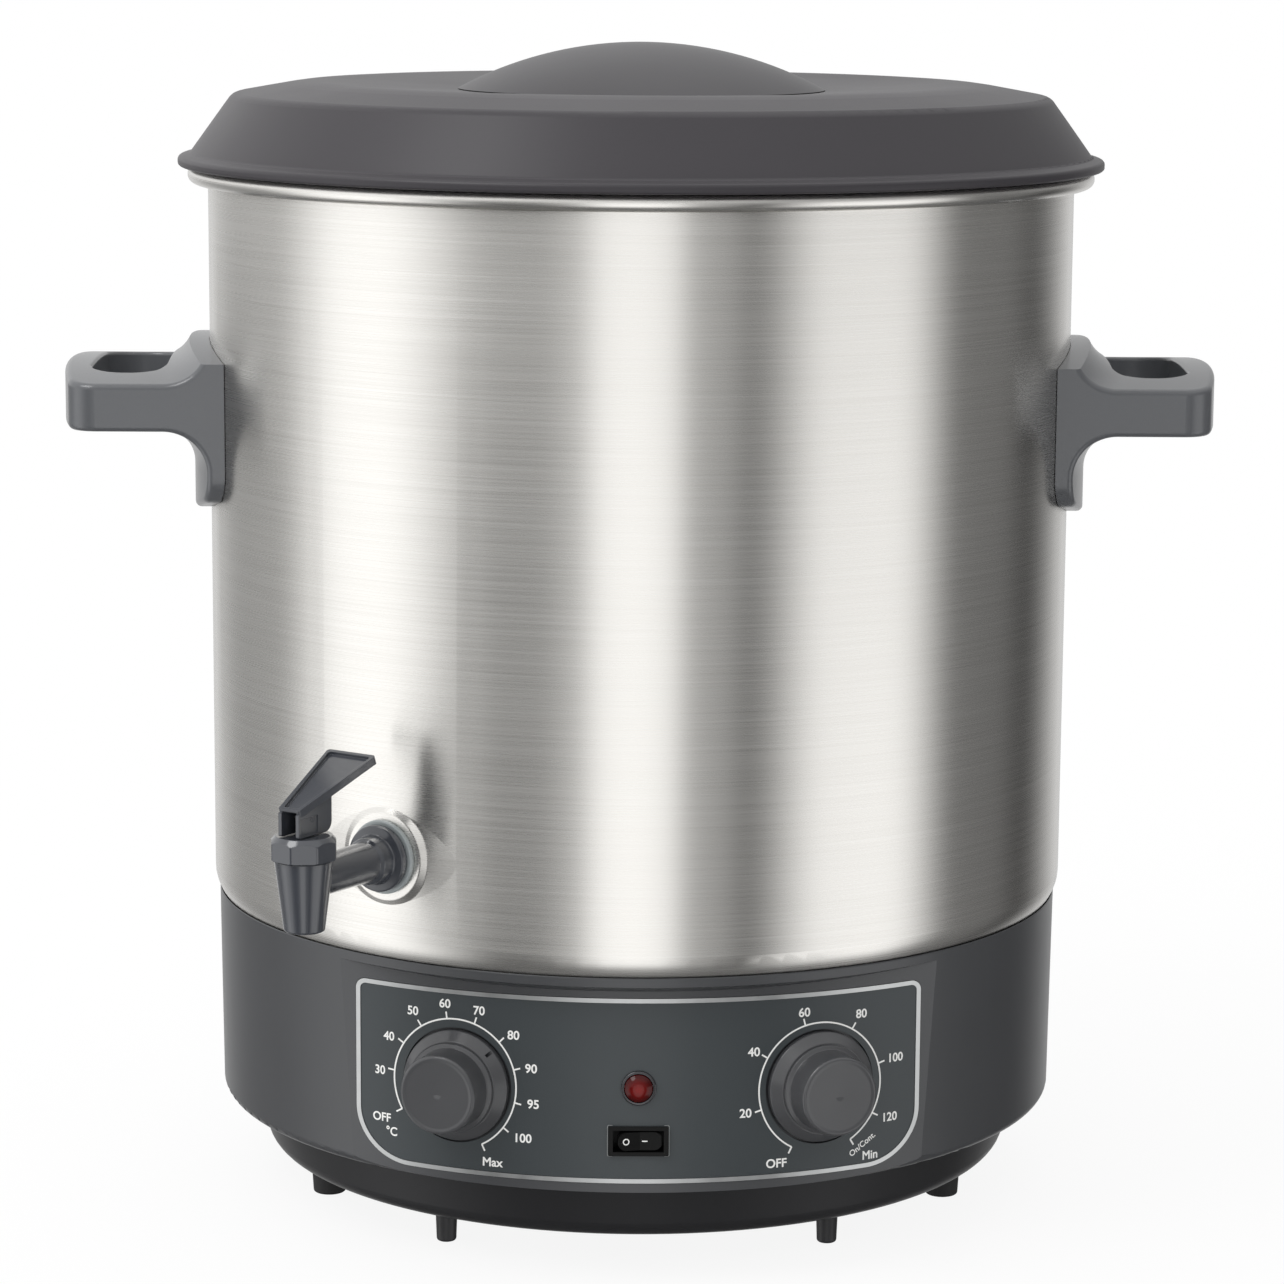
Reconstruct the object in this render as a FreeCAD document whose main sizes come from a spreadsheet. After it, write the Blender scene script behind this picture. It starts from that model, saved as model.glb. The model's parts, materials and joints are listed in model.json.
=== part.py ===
import FreeCAD, Part
import math
import operator
import os

import Sketcher
from FreeCAD import Placement, Rotation, Vector

# Electric preserving cooker with a steel vessel, a lid, a tap and two dials.
# Millimetres, +Z up. The origin is on the counter under the vessel's axis,
# the control panel faces -Y and the carrying handles lie along X.
# An azimuth is measured about Z from the front (-Y) towards +X, in degrees.

doc = FreeCAD.newDocument("preserving_cooker")
sheet = doc.addObject("Spreadsheet::Sheet", "Dims")

sizes = {
    # vessel: drawn sheet steel with a rolled rim
    "vessel_radius": 175.0,
    "vessel_wall": 1.0,
    "vessel_floor_z": 116.2,
    "vessel_corner": 15.0,
    "rim_top_z": 417.7,
    "rim_height": 6.4,
    "rim_radius": 183.0,
    "rim_round": 3.0,
    "pad_radius": 17.0,
    "pad_bend_radius": 19.6,
    "pad_bend_drop": 1.35,
    "pad_foot_radius": 34.0,
    "pad_drop": 4.4,
    "pad_reach": 176.0,
    # housing under the vessel
    "housing_low_radius": 172.2,
    "housing_top_radius": 173.2,
    "housing_low_z": 37.5,
    "housing_top_z": 123.2,
    "housing_wall": 2.5,
    "housing_front_wall": 3.5,
    "housing_inner_radius": 169.7,
    "shelf_top_z": 115.9,
    "shelf_thickness": 2.0,
    "shelf_inner_radius": 156.0,
    "lip_low_z": 119.2,
    "vessel_gap": 0.5,
    "collar_radius": 150.8,
    "collar_low_z": 31.0,
    # flattened front: each level is an arc through two fixed edges
    "front_radius": 172.0,
    "front_half_angle": 39.1,
    "inset_low": 3.5,
    "inset_high": 6.9,
    "trim_low_z": 42.0,
    "trim_high_z": 111.0,
    # panel and its bright frame line
    "panel_half_width": 109.3,
    "panel_low_z": 41.2,
    "panel_high_z": 112.8,
    "panel_low_round": 21.0,
    "panel_high_round": 4.0,
    "trim_width": 1.7,
    "trim_proud": 0.25,
    "panel_thickness": 1.6,
    "panel_fit": 0.15,
    # dials
    "dial_offset": 70.0,
    "dial_z": 75.6,
    "skirt_radius": 21.6,
    "skirt_hole_radius": 22.5,
    "skirt_sink": 0.9,
    "band_radius": 17.9,
    "grip_radius": 15.6,
    "knob_height": 18.4,
    "shaft_radius": 3.0,
    "shaft_play": 0.05,
    # lamp and switch
    "lamp_z": 78.3,
    "lamp_radius": 5.5,
    "bezel_radius": 6.7,
    "switch_z": 57.7,
    "switch_width": 23.0,
    "switch_height": 11.4,
    "rocker_width": 17.0,
    "rocker_height": 7.0,
    "rocker_throw": 8.0,
    # base plate and feet
    "base_top_radius": 159.0,
    "base_low_radius": 152.5,
    "base_low_z": 14.0,
    "base_wall": 2.5,
    "foot_circle": 134.7,
    "foot_radius": 7.4,
    "peg_radius": 4.4,
    "stud_circle": 105.0,
    "stud_radius": 3.0,
    # carrying handles
    "handle_plate_radius": 181.4,
    "handle_reach": 233.0,
    "handle_half_width": 60.0,
    "handle_low_z": 279.9,
    "handle_high_z": 348.5,
    "handle_side_low_z": 287.5,
    "handle_side_high_z": 342.0,
    "handle_low_corner": 13.0,
    "loop_low_z": 315.0,
    "loop_high_z": 339.0,
    "loop_side_z": 333.8,
    "loop_corner": 12.0,
    "finger_inner": 190.4,
    "finger_outer": 220.6,
    "finger_half_length": 39.5,
    # lid
    "lid_top_z": 448.2,
    "lid_ridge_radius": 136.0,
    "lid_ridge_z": 451.7,
    "lid_shoulder_radius": 165.0,
    "lid_shoulder_z": 446.5,
    "lid_foot_radius": 182.0,
    "lid_foot_z": 423.1,
    "lid_lip_radius": 187.0,
    "lid_lip_z": 421.6,
    "lid_seat_z": 418.0,
    "lid_wall": 2.4,
    "dome_radius": 74.2,
    "dome_base_z": 448.7,
    "dome_top_z": 467.4,
    "dome_wall": 2.6,
    # tap
    "tap_azimuth": -33.65,
    "tap_z": 163.5,
    "spout_reach": 225.5,
    "pipe_radius": 7.8,
    "tail_radius": 8.0,
    "flange_radius": 12.9,
    "spout_top_radius": 11.2,
    "spout_low_radius": 7.7,
    "bonnet_radius": 12.0,
    "stem_radius": 2.4,
    "cup_radius": 7.0,
    "lever_length": 41.7,
    "lever_slope": 21.5,
    # rack for the jars
    "rack_radius": 152.0,
    "rack_top_z": 135.0,
}


class Size:
    """A number that keeps the sheet formula it comes from."""

    def __init__(self, value, formula):
        self.value = float(value)
        self.formula = formula

    def __float__(self):
        return self.value

    def __add__(self, other):
        return combined(self, "+", other)

    def __radd__(self, other):
        return combined(other, "+", self)

    def __sub__(self, other):
        return combined(self, "-", other)

    def __rsub__(self, other):
        return combined(other, "-", self)

    def __mul__(self, other):
        return combined(self, "*", other)

    def __rmul__(self, other):
        return combined(other, "*", self)

    def __truediv__(self, other):
        return combined(self, "/", other)

    def __neg__(self):
        return combined(0, "-", self)


OPERATIONS = {"+": operator.add, "-": operator.sub, "*": operator.mul, "/": operator.truediv}


def formula_of(term):
    return term.formula if isinstance(term, Size) else repr(float(term))


def combined(left, sign, right):
    value = OPERATIONS[sign](float(left), float(right))
    return Size(value, f"({formula_of(left)} {sign} {formula_of(right)})")


def sine(angle):
    return Size(math.sin(math.radians(float(angle))), f"sin({formula_of(angle)})")


def cosine(angle):
    return Size(math.cos(math.radians(float(angle))), f"cos({formula_of(angle)})")


class Named:
    """The sheet's sizes, each under its own name."""


d = Named()
for row, (name, number) in enumerate(sizes.items(), start=1):
    sheet.set(f"A{row}", name)
    sheet.set(f"B{row}", str(number))
    sheet.setAlias(f"B{row}", name)
    setattr(d, name, Size(number, f"Dims.{name}"))
doc.recompute()

pieces = []


def bind(thing, prop, amount):
    setattr(thing, prop, float(amount))
    if isinstance(amount, Size):
        thing.setExpression(prop, amount.formula)


def piece(thing, label, place=None):
    """Give a finished sub-part its own label and its place on the object."""
    thing.Label = label
    if place is not None:
        thing.Placement = place
    pieces.append(thing)
    return thing


def moved(x=0.0, y=0.0, z=0.0):
    return Placement(Vector(float(x), float(y), float(z)), Rotation())


def turned(axis, angle):
    return Placement(Vector(0, 0, 0), Rotation(axis, float(angle)))


X_AXIS = Vector(1, 0, 0)
Y_AXIS = Vector(0, 1, 0)
Z_AXIS = Vector(0, 0, 1)


def radial_frame(azimuth, height=0.0):
    """Local X points outwards from the vessel's axis at an azimuth, Z stays up."""
    return moved(z=height) * turned(Z_AXIS, float(azimuth) - 90)


def lying(reach, y=0.0, z=0.0):
    """Turn a piece's own Z axis into local X, starting at a distance from the axis."""
    return moved(reach, y, z) * turned(Y_AXIS, 90)


# sketches

def sketch_on(body, plane, offset=None):
    sketch = body.newObject("Sketcher::SketchObject", body.Name + "_sketch")
    origin_plane = [item for item in body.Origin.OriginFeatures if item.Role == plane][0]
    sketch.AttachmentSupport = [(origin_plane, "")]
    sketch.MapMode = "FlatFace"
    if offset is not None:
        sketch.AttachmentOffset = offset
    return sketch


def pin_point(sketch, geometry, end, x, y):
    """Hold one point of a sketch at sheet sizes measured from the sketch's origin."""
    for kind, axis, amount in (("DistanceX", -2, x), ("DistanceY", -1, y)):
        if float(amount) == 0.0:
            sketch.addConstraint(Sketcher.Constraint("PointOnObject", geometry, end, axis))
            continue
        number = sketch.addConstraint(
            Sketcher.Constraint(kind, -1, 1, geometry, end, float(amount)))
        if isinstance(amount, Size):
            sketch.setExpression(f"Constraints[{number}]", amount.formula)


def outline(sketch, corners):
    """Closed outline through corners (x, y) or (x, y, rounding radius)."""
    count = len(corners)
    points = [Vector(float(c[0]), float(c[1]), 0) for c in corners]
    starts = []
    ends = []
    rounds = {}
    for i, corner in enumerate(corners):
        here = points[i]
        if len(corner) == 2:
            starts.append(here)
            ends.append(here)
            continue
        back = (points[i - 1] - here).normalize()
        ahead = (points[(i + 1) % count] - here).normalize()
        half = math.acos(max(-1.0, min(1.0, back.dot(ahead)))) / 2
        reach = float(corner[2]) / math.tan(half)
        middle = here + (back + ahead).normalize() * (float(corner[2]) / math.sin(half))
        ends.append(here + back * reach)
        starts.append(here + ahead * reach)
        near = middle + (here - middle).normalize() * float(corner[2])
        rounds[i] = (ends[i], near, starts[i])
    lines = []
    for i in range(count):
        lines.append(sketch.addGeometry(Part.LineSegment(starts[i], ends[(i + 1) % count])))
    for i, corner in enumerate(corners):
        before = lines[i - 1]
        after = lines[i]
        if i not in rounds:
            sketch.addConstraint(Sketcher.Constraint("Coincident", before, 2, after, 1))
            pin_point(sketch, after, 1, corner[0], corner[1])
            continue
        arc = sketch.addGeometry(Part.Arc(*rounds[i]))
        first = sketch.getPoint(arc, 1)
        flipped = (first - rounds[i][0]).Length > (first - rounds[i][2]).Length
        sketch.addConstraint(Sketcher.Constraint("Tangent", before, 2, arc, 2 if flipped else 1))
        sketch.addConstraint(Sketcher.Constraint("Tangent", after, 1, arc, 1 if flipped else 2))
        number = sketch.addConstraint(Sketcher.Constraint("Radius", arc, float(corner[2])))
        if isinstance(corner[2], Size):
            sketch.setExpression(f"Constraints[{number}]", corner[2].formula)
        mark = sketch.addGeometry(Part.Point(points[i]), True)
        pin_point(sketch, mark, 1, corner[0], corner[1])
        sketch.addConstraint(Sketcher.Constraint("PointOnObject", mark, 1, before))
        sketch.addConstraint(Sketcher.Constraint("PointOnObject", mark, 1, after))


def ring_of(sketch, radius, x=0.0, y=0.0):
    """A circle in a sketch, its centre and radius held by sheet sizes."""
    circle = sketch.addGeometry(
        Part.Circle(Vector(float(x), float(y), 0), Vector(0, 0, 1), float(radius)))
    pin_point(sketch, circle, 3, x, y)
    number = sketch.addConstraint(Sketcher.Constraint("Radius", circle, float(radius)))
    if isinstance(radius, Size):
        sketch.setExpression(f"Constraints[{number}]", radius.formula)


# bodies

def new_body(name):
    return doc.addObject("PartDesign::Body", name)


def sweep_round(body, corners, axis="V_Axis"):
    """Revolve an outline drawn in the body's XZ plane about one of its axes."""
    sketch = sketch_on(body, "XZ_Plane")
    outline(sketch, corners)
    turn = body.newObject("PartDesign::Revolution", body.Name + "_turned")
    turn.Profile = sketch
    turn.ReferenceAxis = (sketch, [axis])
    turn.Angle = 360.0
    return turn


def revolved(name, corners, axis="V_Axis"):
    body = new_body(name)
    sweep_round(body, corners, axis)
    return body


def pad(body, sketch, length, both_ways=False):
    feature = body.newObject("PartDesign::Pad", body.Name + "_pad")
    feature.Profile = sketch
    if both_ways:
        feature.SideType = "Symmetric"
    bind(feature, "Length", length)
    return feature


def extruded(name, plane, corners, length, offset=None, both_ways=False):
    body = new_body(name)
    sketch = sketch_on(body, plane, offset)
    outline(sketch, corners)
    pad(body, sketch, length, both_ways)
    return body


def pocket(body, sketch, through=True):
    feature = body.newObject("PartDesign::Pocket", body.Name + "_pocket")
    feature.Profile = sketch
    feature.SideType = "Symmetric"
    feature.Type = 1 if through else 0
    return feature


def round_pattern(body, feature, count):
    pattern = body.newObject("PartDesign::PolarPattern", body.Name + "_pattern")
    pattern.Originals = [feature]
    pattern.Axis = (feature.Profile[0], ["N_Axis"])
    pattern.Angle = 360.0
    pattern.Occurrences = count
    body.Tip = pattern
    return pattern


def edge_round(body, radius, chosen):
    """Round the edges of the body's tip whose middle point passes a test."""
    doc.recompute()
    base = body.Tip
    names = []
    for i, edge in enumerate(base.Shape.Edges, start=1):
        low, high = edge.ParameterRange
        middle = edge.valueAt((low + high) / 2)
        if chosen(middle, edge):
            names.append(f"Edge{i}")
    feature = body.newObject("PartDesign::Fillet", body.Name + "_round")
    feature.Base = (base, names)
    bind(feature, "Radius", radius)
    return feature


# primitives and joins of whole shapes

def rod(name, radius, height, place=None):
    thing = doc.addObject("Part::Cylinder", name)
    bind(thing, "Radius", radius)
    bind(thing, "Height", height)
    if place is not None:
        thing.Placement = place
    return thing


def block(name, length, width, height, place=None):
    """A box centred on local X and Y, standing on local Z."""
    thing = doc.addObject("Part::Box", name)
    bind(thing, "Length", length)
    bind(thing, "Width", width)
    bind(thing, "Height", height)
    centred = moved(-float(length) / 2, -float(width) / 2)
    thing.Placement = centred if place is None else place * centred
    return thing


def joined(name, parts):
    thing = doc.addObject("Part::MultiFuse", name)
    thing.Shapes = parts
    return thing


def shared(name, one, other):
    thing = doc.addObject("Part::Common", name)
    thing.Base = one
    thing.Tool = other
    return thing


def without(name, base, tools):
    thing = doc.addObject("Part::Cut", name)
    thing.Base = base
    thing.Tool = tools[0] if len(tools) == 1 else joined(name + "_tools", tools)
    return thing


def group(name, parts):
    thing = doc.addObject("Part::Compound", name)
    thing.Links = parts
    return thing


def tube_path(points, bend):
    """Straight runs between points, joined by tangent arcs of one radius."""
    edges = []
    start = points[0]
    for i in range(1, len(points) - 1):
        back = (points[i - 1] - points[i]).normalize()
        ahead = (points[i + 1] - points[i]).normalize()
        half = math.acos(back.dot(ahead)) / 2
        reach = bend / math.tan(half)
        first = points[i] + back * reach
        last = points[i] + ahead * reach
        centre = points[i] + (back + ahead).normalize() * (bend / math.sin(half))
        near = centre + (points[i] - centre).normalize() * bend
        edges.append(Part.makeLine(start, first))
        edges.append(Part.Arc(first, near, last).toShape())
        start = last
    edges.append(Part.makeLine(start, points[-1]))
    return Part.Wire(edges)


def tube(name, points, radius, bend):
    path = tube_path(points, bend)
    section = Part.Wire([Part.makeCircle(radius, points[0], points[1] - points[0])])
    thing = doc.addObject("Part::Feature", name)
    thing.Shape = path.makePipeShell([section], True, False)
    return thing


# front surface of the housing

def inset_at(height):
    rate = (d.inset_high - d.inset_low) / (d.trim_high_z - d.trim_low_z)
    return d.inset_low + (height - d.trim_low_z) * rate


def front_arc(height):
    """Radius and centre of the arc that the front follows at one height."""
    half_width = d.front_radius * sine(d.front_half_angle)
    reach = d.front_radius - inset_at(height)
    sag = reach - d.front_radius * cosine(d.front_half_angle)
    radius = (half_width * half_width + sag * sag) / (2 * sag)
    return radius, radius - reach


def front_solid(name, inwards, low=28.0, high=132.0):
    """Ruled solid between two level arcs, drawn in by a wall thickness."""
    circles = []
    for end, height in (("low", low), ("high", high)):
        radius, centre = front_arc(height)
        circle = doc.addObject("Part::Circle", f"{name}_{end}")
        bind(circle, "Radius", radius - inwards)
        circle.Placement = moved(0, centre, height)
        circle.setExpression("Placement.Base.y", centre.formula)
        circles.append(circle)
    loft = doc.addObject("Part::Loft", name)
    loft.Sections = circles
    loft.Solid = True
    loft.Ruled = True
    return loft


def front_point(x, height):
    radius, centre = front_arc(height)
    y = float(centre) - math.sqrt(float(radius) ** 2 - float(x) ** 2)
    return Vector(float(x), y, float(height))


def front_frame(x, height):
    """Local Z stands square out of the front surface, local Y points up it."""
    step = 0.5
    across = front_point(float(x) + step, height) - front_point(float(x) - step, height)
    up = front_point(x, float(height) + step) - front_point(x, float(height) - step)
    out = across.cross(up).normalize()
    turn = Rotation(across.normalize(), up, out, "ZXY")
    return Placement(front_point(x, height), turn)


def panel_prism(name, margin):
    """Rounded rectangle of the panel, pushed through the front wall."""
    left = -d.panel_half_width + margin
    right = d.panel_half_width - margin
    low = d.panel_low_z + margin
    high = d.panel_high_z - margin
    low_round = d.panel_low_round - margin
    high_round = d.panel_high_round - margin
    corners = [(left, low, low_round), (right, low, low_round),
               (right, high, high_round), (left, high, high_round)]
    return extruded(name, "XZ_Plane", corners, 90.0, moved(z=100))


temperature_dial = front_frame(-d.dial_offset, d.dial_z)
timer_dial = front_frame(d.dial_offset, d.dial_z)
lamp_seat = front_frame(0, d.lamp_z)
switch_seat = front_frame(0, d.switch_z)
tap_frame = radial_frame(d.tap_azimuth, d.tap_z)


# vessel

vessel_inner = d.vessel_radius - d.vessel_wall
vessel_sheet = revolved("vessel_sheet", [
    (0, d.vessel_floor_z),
    (d.vessel_radius, d.vessel_floor_z, d.vessel_corner),
    (d.vessel_radius, d.rim_top_z - d.rim_height),
    (d.rim_radius, d.rim_top_z - d.rim_height, d.rim_round),
    (d.rim_radius, d.rim_top_z, d.rim_round),
    (vessel_inner, d.rim_top_z, d.rim_round),
    (vessel_inner, d.vessel_floor_z + d.vessel_wall, d.vessel_corner - d.vessel_wall),
    (0, d.vessel_floor_z + d.vessel_wall),
])


def pressed_pad(name, reach, edge):
    """Flat round seat about the tap's axis; its flank drops, bends and fades into the vessel's wall."""
    body = revolved(name, [
        (150, 0), (reach, 0), (reach, d.pad_radius, edge),
        (reach - d.pad_bend_drop, d.pad_bend_radius, edge),
        (reach - d.pad_drop, d.pad_foot_radius), (150, d.pad_foot_radius)], "H_Axis")
    body.Placement = tap_frame
    return body


vessel_bore = rod("vessel_bore", vessel_inner, 120, moved(z=100))
pad_outside = without("pad_shell", pressed_pad("pad_outside", d.pad_reach, 1.4), [vessel_bore])
pad_inside = pressed_pad("pad_inside", d.pad_reach - d.vessel_wall, 0.9)
tap_hole = rod("tap_hole", d.tail_radius + 0.3, 40, tap_frame * lying(150))

HANDLE_SCREW_ANGLE = 15.0
HANDLE_SCREW_Z = 326.0
handle_screw_places = [
    radial_frame(side + turn, HANDLE_SCREW_Z)
    for side in (-90, 90) for turn in (-HANDLE_SCREW_ANGLE, HANDLE_SCREW_ANGLE)]


def screw_holes(name, radius):
    return [rod(f"{name}_{i}", radius, 50, place * lying(150))
            for i, place in enumerate(handle_screw_places)]


vessel_walls = joined("vessel_walls", [vessel_sheet, pad_outside])
vessel = without("vessel_cut", vessel_walls,
                 [pad_inside, tap_hole] + screw_holes("vessel_screw_hole", 2.8))
piece(vessel, "vessel")

STUD_AZIMUTHS = (60, 180, 300)


def stud_place(azimuth, z):
    return radial_frame(azimuth, z) * moved(d.stud_circle)


studs = [rod(f"stud_{a}", d.stud_radius, d.vessel_floor_z - 8, stud_place(a, 8))
         for a in STUD_AZIMUTHS]
piece(group("studs", studs), "tie_studs")


def hex_nut(name, across, bore, height, place):
    """Hexagon nut of a width across flats, with a plain bore."""
    blank = doc.addObject("Part::Prism", name + "_blank")
    blank.Polygon = 6
    blank.Circumradius = across / math.sqrt(3)
    blank.Height = height
    nut = without(name, blank, [rod(name + "_bore", bore, height)])
    nut.Placement = place
    return nut


SHIELD_Z = 82.0
nuts = [hex_nut(f"stud_nut_{a}_{level}", 10.0, d.stud_radius, 4.4, stud_place(a, low))
        for a in STUD_AZIMUTHS for level, low in (("low", 9.5), ("high", SHIELD_Z - 4.5))]
piece(group("nuts", nuts), "stud_nuts")

# heater under the vessel floor

SPREADER_THICKNESS = 6.0
ELEMENT_RADIUS = 88.0
ELEMENT_TUBE = 3.8
spreader_z = float(d.vessel_floor_z) - SPREADER_THICKNESS
piece(rod("spreader", 98.0, SPREADER_THICKNESS, moved(z=spreader_z)), "heat_spreader")

element_ring = doc.addObject("Part::Torus", "element_ring")
element_ring.Radius1 = ELEMENT_RADIUS
element_ring.Radius2 = ELEMENT_TUBE
element_ring.Angle3 = 330.0
element_ring.Placement = moved(z=spreader_z - ELEMENT_TUBE)
element_ends = [
    rod(f"element_end_{a}", ELEMENT_TUBE - 0.6, 22.0,
        moved(z=spreader_z - ELEMENT_TUBE - 22) * turned(Z_AXIS, a) * moved(ELEMENT_RADIUS))
    for a in (0, 330)]
piece(joined("element", [element_ring] + element_ends), "heating_element")

BULB_Z = spreader_z - 3.2
bulb = rod("bulb", 3.0, 64.0, moved(-12, -36, BULB_Z) * turned(Y_AXIS, 90))
piece(bulb, "sensor_bulb")
piece(revolved("cutout", [(0, 0), (9.0, 0, 1.0), (9.0, 6.0), (13.0, 6.0), (13.0, 7.0), (0, 7.0)]),
      "thermal_cutout", moved(20, 40, spreader_z - 7.0))

shield_dish = revolved("shield_dish", [
    (0, SHIELD_Z), (128, SHIELD_Z, 2.0), (128, SHIELD_Z + 8), (127, SHIELD_Z + 8),
    (127, SHIELD_Z + 1, 1.0), (0, SHIELD_Z + 1)])
shield_holes = [rod(f"shield_hole_{a}", d.stud_radius + 0.1, 10, stud_place(a, SHIELD_Z - 4))
                for a in STUD_AZIMUTHS]
wire_slots = [block(f"wire_slot_{side}", 24, 20, 10, moved(side * 62, -70, SHIELD_Z - 4))
              for side in (-1, 1)]
element_slot = block("element_slot", 20, 56, 10, moved(84, -20, SHIELD_Z - 4))
piece(without("shield", shield_dish, shield_holes + wire_slots + [element_slot]), "heat_shield")

# housing

shelf_low_z = d.shelf_top_z - d.shelf_thickness
housing_form = revolved("housing_form", [
    (0, d.housing_low_z),
    (d.housing_low_radius, d.housing_low_z, 4.0),
    (d.housing_top_radius, d.housing_top_z, 1.0),
    (0, d.housing_top_z),
])
lip_slope = (d.lip_low_z - d.shelf_top_z) / 7.2
front_space = revolved("front_space", [
    (145, 28.0),
    (200, 28.0),
    (200, d.shelf_top_z + lip_slope * 34),
    (166, d.shelf_top_z),
    (145, d.shelf_top_z),
])
outer_front = front_solid("outer_front", 0)
front_cut = without("front_cut", front_space, [outer_front])
room = revolved("room", [
    (0, d.housing_low_z + d.housing_wall),
    (d.housing_inner_radius, d.housing_low_z + d.housing_wall, 3.0),
    (d.housing_inner_radius, shelf_low_z),
    (0, shelf_low_z),
])
room_inside = shared("room_inside", room, front_solid("inner_front", d.housing_front_wall))
vessel_space = revolved("vessel_space", [
    (0, d.vessel_floor_z - d.vessel_gap),
    (d.vessel_radius + d.vessel_gap, d.vessel_floor_z - d.vessel_gap,
     d.vessel_corner + d.vessel_gap),
    (d.vessel_radius + d.vessel_gap, 140.0),
    (0, 140.0),
])
shelf_hole = rod("shelf_hole", d.shelf_inner_radius, 10, moved(z=110))
collar = revolved("collar", [
    (d.collar_radius - 2.0, d.collar_low_z),
    (d.collar_radius, d.collar_low_z),
    (d.collar_radius, d.housing_low_z + 1.0),
    (d.collar_radius - 2.0, d.housing_low_z + 1.0),
])
floor_hole = rod("floor_hole", d.collar_radius - 2.0, 20, moved(z=25))
panel_recess = shared(
    "panel_recess",
    without("recess_layer", front_solid("recess_outer", -6.0),
            [front_solid("recess_inner", d.panel_thickness + d.panel_fit)]),
    panel_prism("recess_prism", -d.panel_fit))


def front_hole(name, radius, seat):
    return rod(name, radius, 30, seat * moved(z=-15))


def switch_hole(name, play):
    return block(name, d.switch_width - 2.0 + play, d.switch_height - 2.0 + play, 30,
                 switch_seat * moved(z=-15))


GLAND_Z = 60.0
GLAND_RADIUS = 8.0
gland_frame = radial_frame(180, GLAND_Z)
housing = without("housing_cut", joined("housing_walls", [housing_form, collar]), [
    front_cut, room_inside, vessel_space, shelf_hole, floor_hole, panel_recess,
    front_hole("thermostat_hole", 5.0, temperature_dial),
    front_hole("timer_hole", 5.0, timer_dial),
    front_hole("lamp_hole", d.lamp_radius + 0.2, lamp_seat),
    switch_hole("switch_hole", 0.2),
    rod("gland_hole", GLAND_RADIUS + 0.2, 30, gland_frame * lying(155)),
])
piece(housing, "base_housing")

# control panel and its bright frame line

panel_layer = without("panel_layer", front_solid("panel_face", 0),
                      [front_solid("panel_back", d.panel_thickness)])
panel_plate = shared("panel_plate", panel_layer, panel_prism("panel_shape", d.trim_width + 0.1))
panel = without("panel_cut", panel_plate, [
    front_hole("thermostat_window", d.skirt_hole_radius, temperature_dial),
    front_hole("timer_window", d.skirt_hole_radius, timer_dial),
    front_hole("lamp_window", d.lamp_radius + 0.2, lamp_seat),
    switch_hole("switch_window", 0.2),
])
piece(panel, "control_panel")

trim_layer = without("trim_layer", front_solid("trim_face", -d.trim_proud),
                     [front_solid("trim_back", d.panel_thickness)])
trim_shape = without("trim_shape", panel_prism("trim_outside", 0),
                     [panel_prism("trim_inside", d.trim_width)])
piece(shared("trim", trim_layer, trim_shape), "panel_trim")

# dials: knob, shaft and what the shaft works

NOTCH_SIZE = (1.3, 6.0, 2.0)


def knob(name, seat, notch_angle):
    """Stepped round knob; the notch angle is clockwise from the top, seen from outside."""
    form = revolved(name + "_form", [
        (0, -d.skirt_sink),
        (d.skirt_radius, -d.skirt_sink),
        (d.skirt_radius, 1.0, 0.8),
        (d.band_radius, 4.6, 0.6),
        (d.band_radius - 0.6, 4.6),
        (d.band_radius - 0.6, 5.6, 0.5),
        (d.grip_radius, 6.4, 0.6),
        (d.grip_radius - 0.3, d.knob_height, 1.2),
        (d.grip_radius - 2.6, d.knob_height - 0.4, 3.0),
        (0, d.knob_height - 0.6),
    ])
    hollow = revolved(name + "_hollow", [
        (6.0, -2.0), (13.0, -2.0), (12.2, 15.0, 1.0), (6.0, 15.0)])
    bore = rod(name + "_bore", d.shaft_radius, 18, moved(z=-4))
    width, length, depth = NOTCH_SIZE
    notch = block(name + "_notch", width, length, depth,
                  turned(Z_AXIS, -notch_angle) * moved(0, 20.0, 1.4))
    return piece(without(name, form, [hollow, bore, notch]), name, seat)


TEMPERATURE_REST = 46.0
TIMER_REST = 148.0
knob("thermostat_knob", temperature_dial, TEMPERATURE_REST)
knob("timer_knob", timer_dial, TIMER_REST)

for dial, seat in (("thermostat", temperature_dial), ("timer", timer_dial)):
    piece(rod(dial + "_rod", d.shaft_radius, 38.0), dial + "_shaft", seat * moved(z=-24))

shaft_bore = d.shaft_radius + d.shaft_play
thermostat_case = revolved("thermostat_case", [
    (0, -27), (14.5, -27, 1.5), (16.5, -19, 1.0), (16.5, -10, 1.0), (9, -5.6), (9, -3.8), (0, -3.8)])
thermostat_blades = [block(f"blade_{side}", 6.3, 0.8, 9, moved(8 * side, -6, -35))
                     for side in (-1, 1)]
piece(without("thermostat", joined("thermostat_whole", [thermostat_case] + thermostat_blades),
              [rod("thermostat_bore", shaft_bore, 40, moved(z=-25))]),
      "thermostat_body", temperature_dial)

timer_case = block("timer_case", 42, 42, 19, moved(z=-25))
timer_neck = rod("timer_neck", 9.0, 2.2, moved(z=-6))
piece(without("timer", joined("timer_whole", [timer_case, timer_neck]),
              [rod("timer_bore", shaft_bore, 40, moved(z=-25))]),
      "timer_body", timer_dial)
bell_shell = revolved("bell_shell", [
    (0, -36), (11, -36, 4.0), (15, -29), (14.2, -29), (10.4, -35, 3.0), (0, -35.1)])
bell_post = rod("bell_post", 1.5, 10.5, moved(z=-35.5))
piece(joined("bell", [bell_shell, bell_post]), "timer_bell", timer_dial)

# indicator lamp

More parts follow.
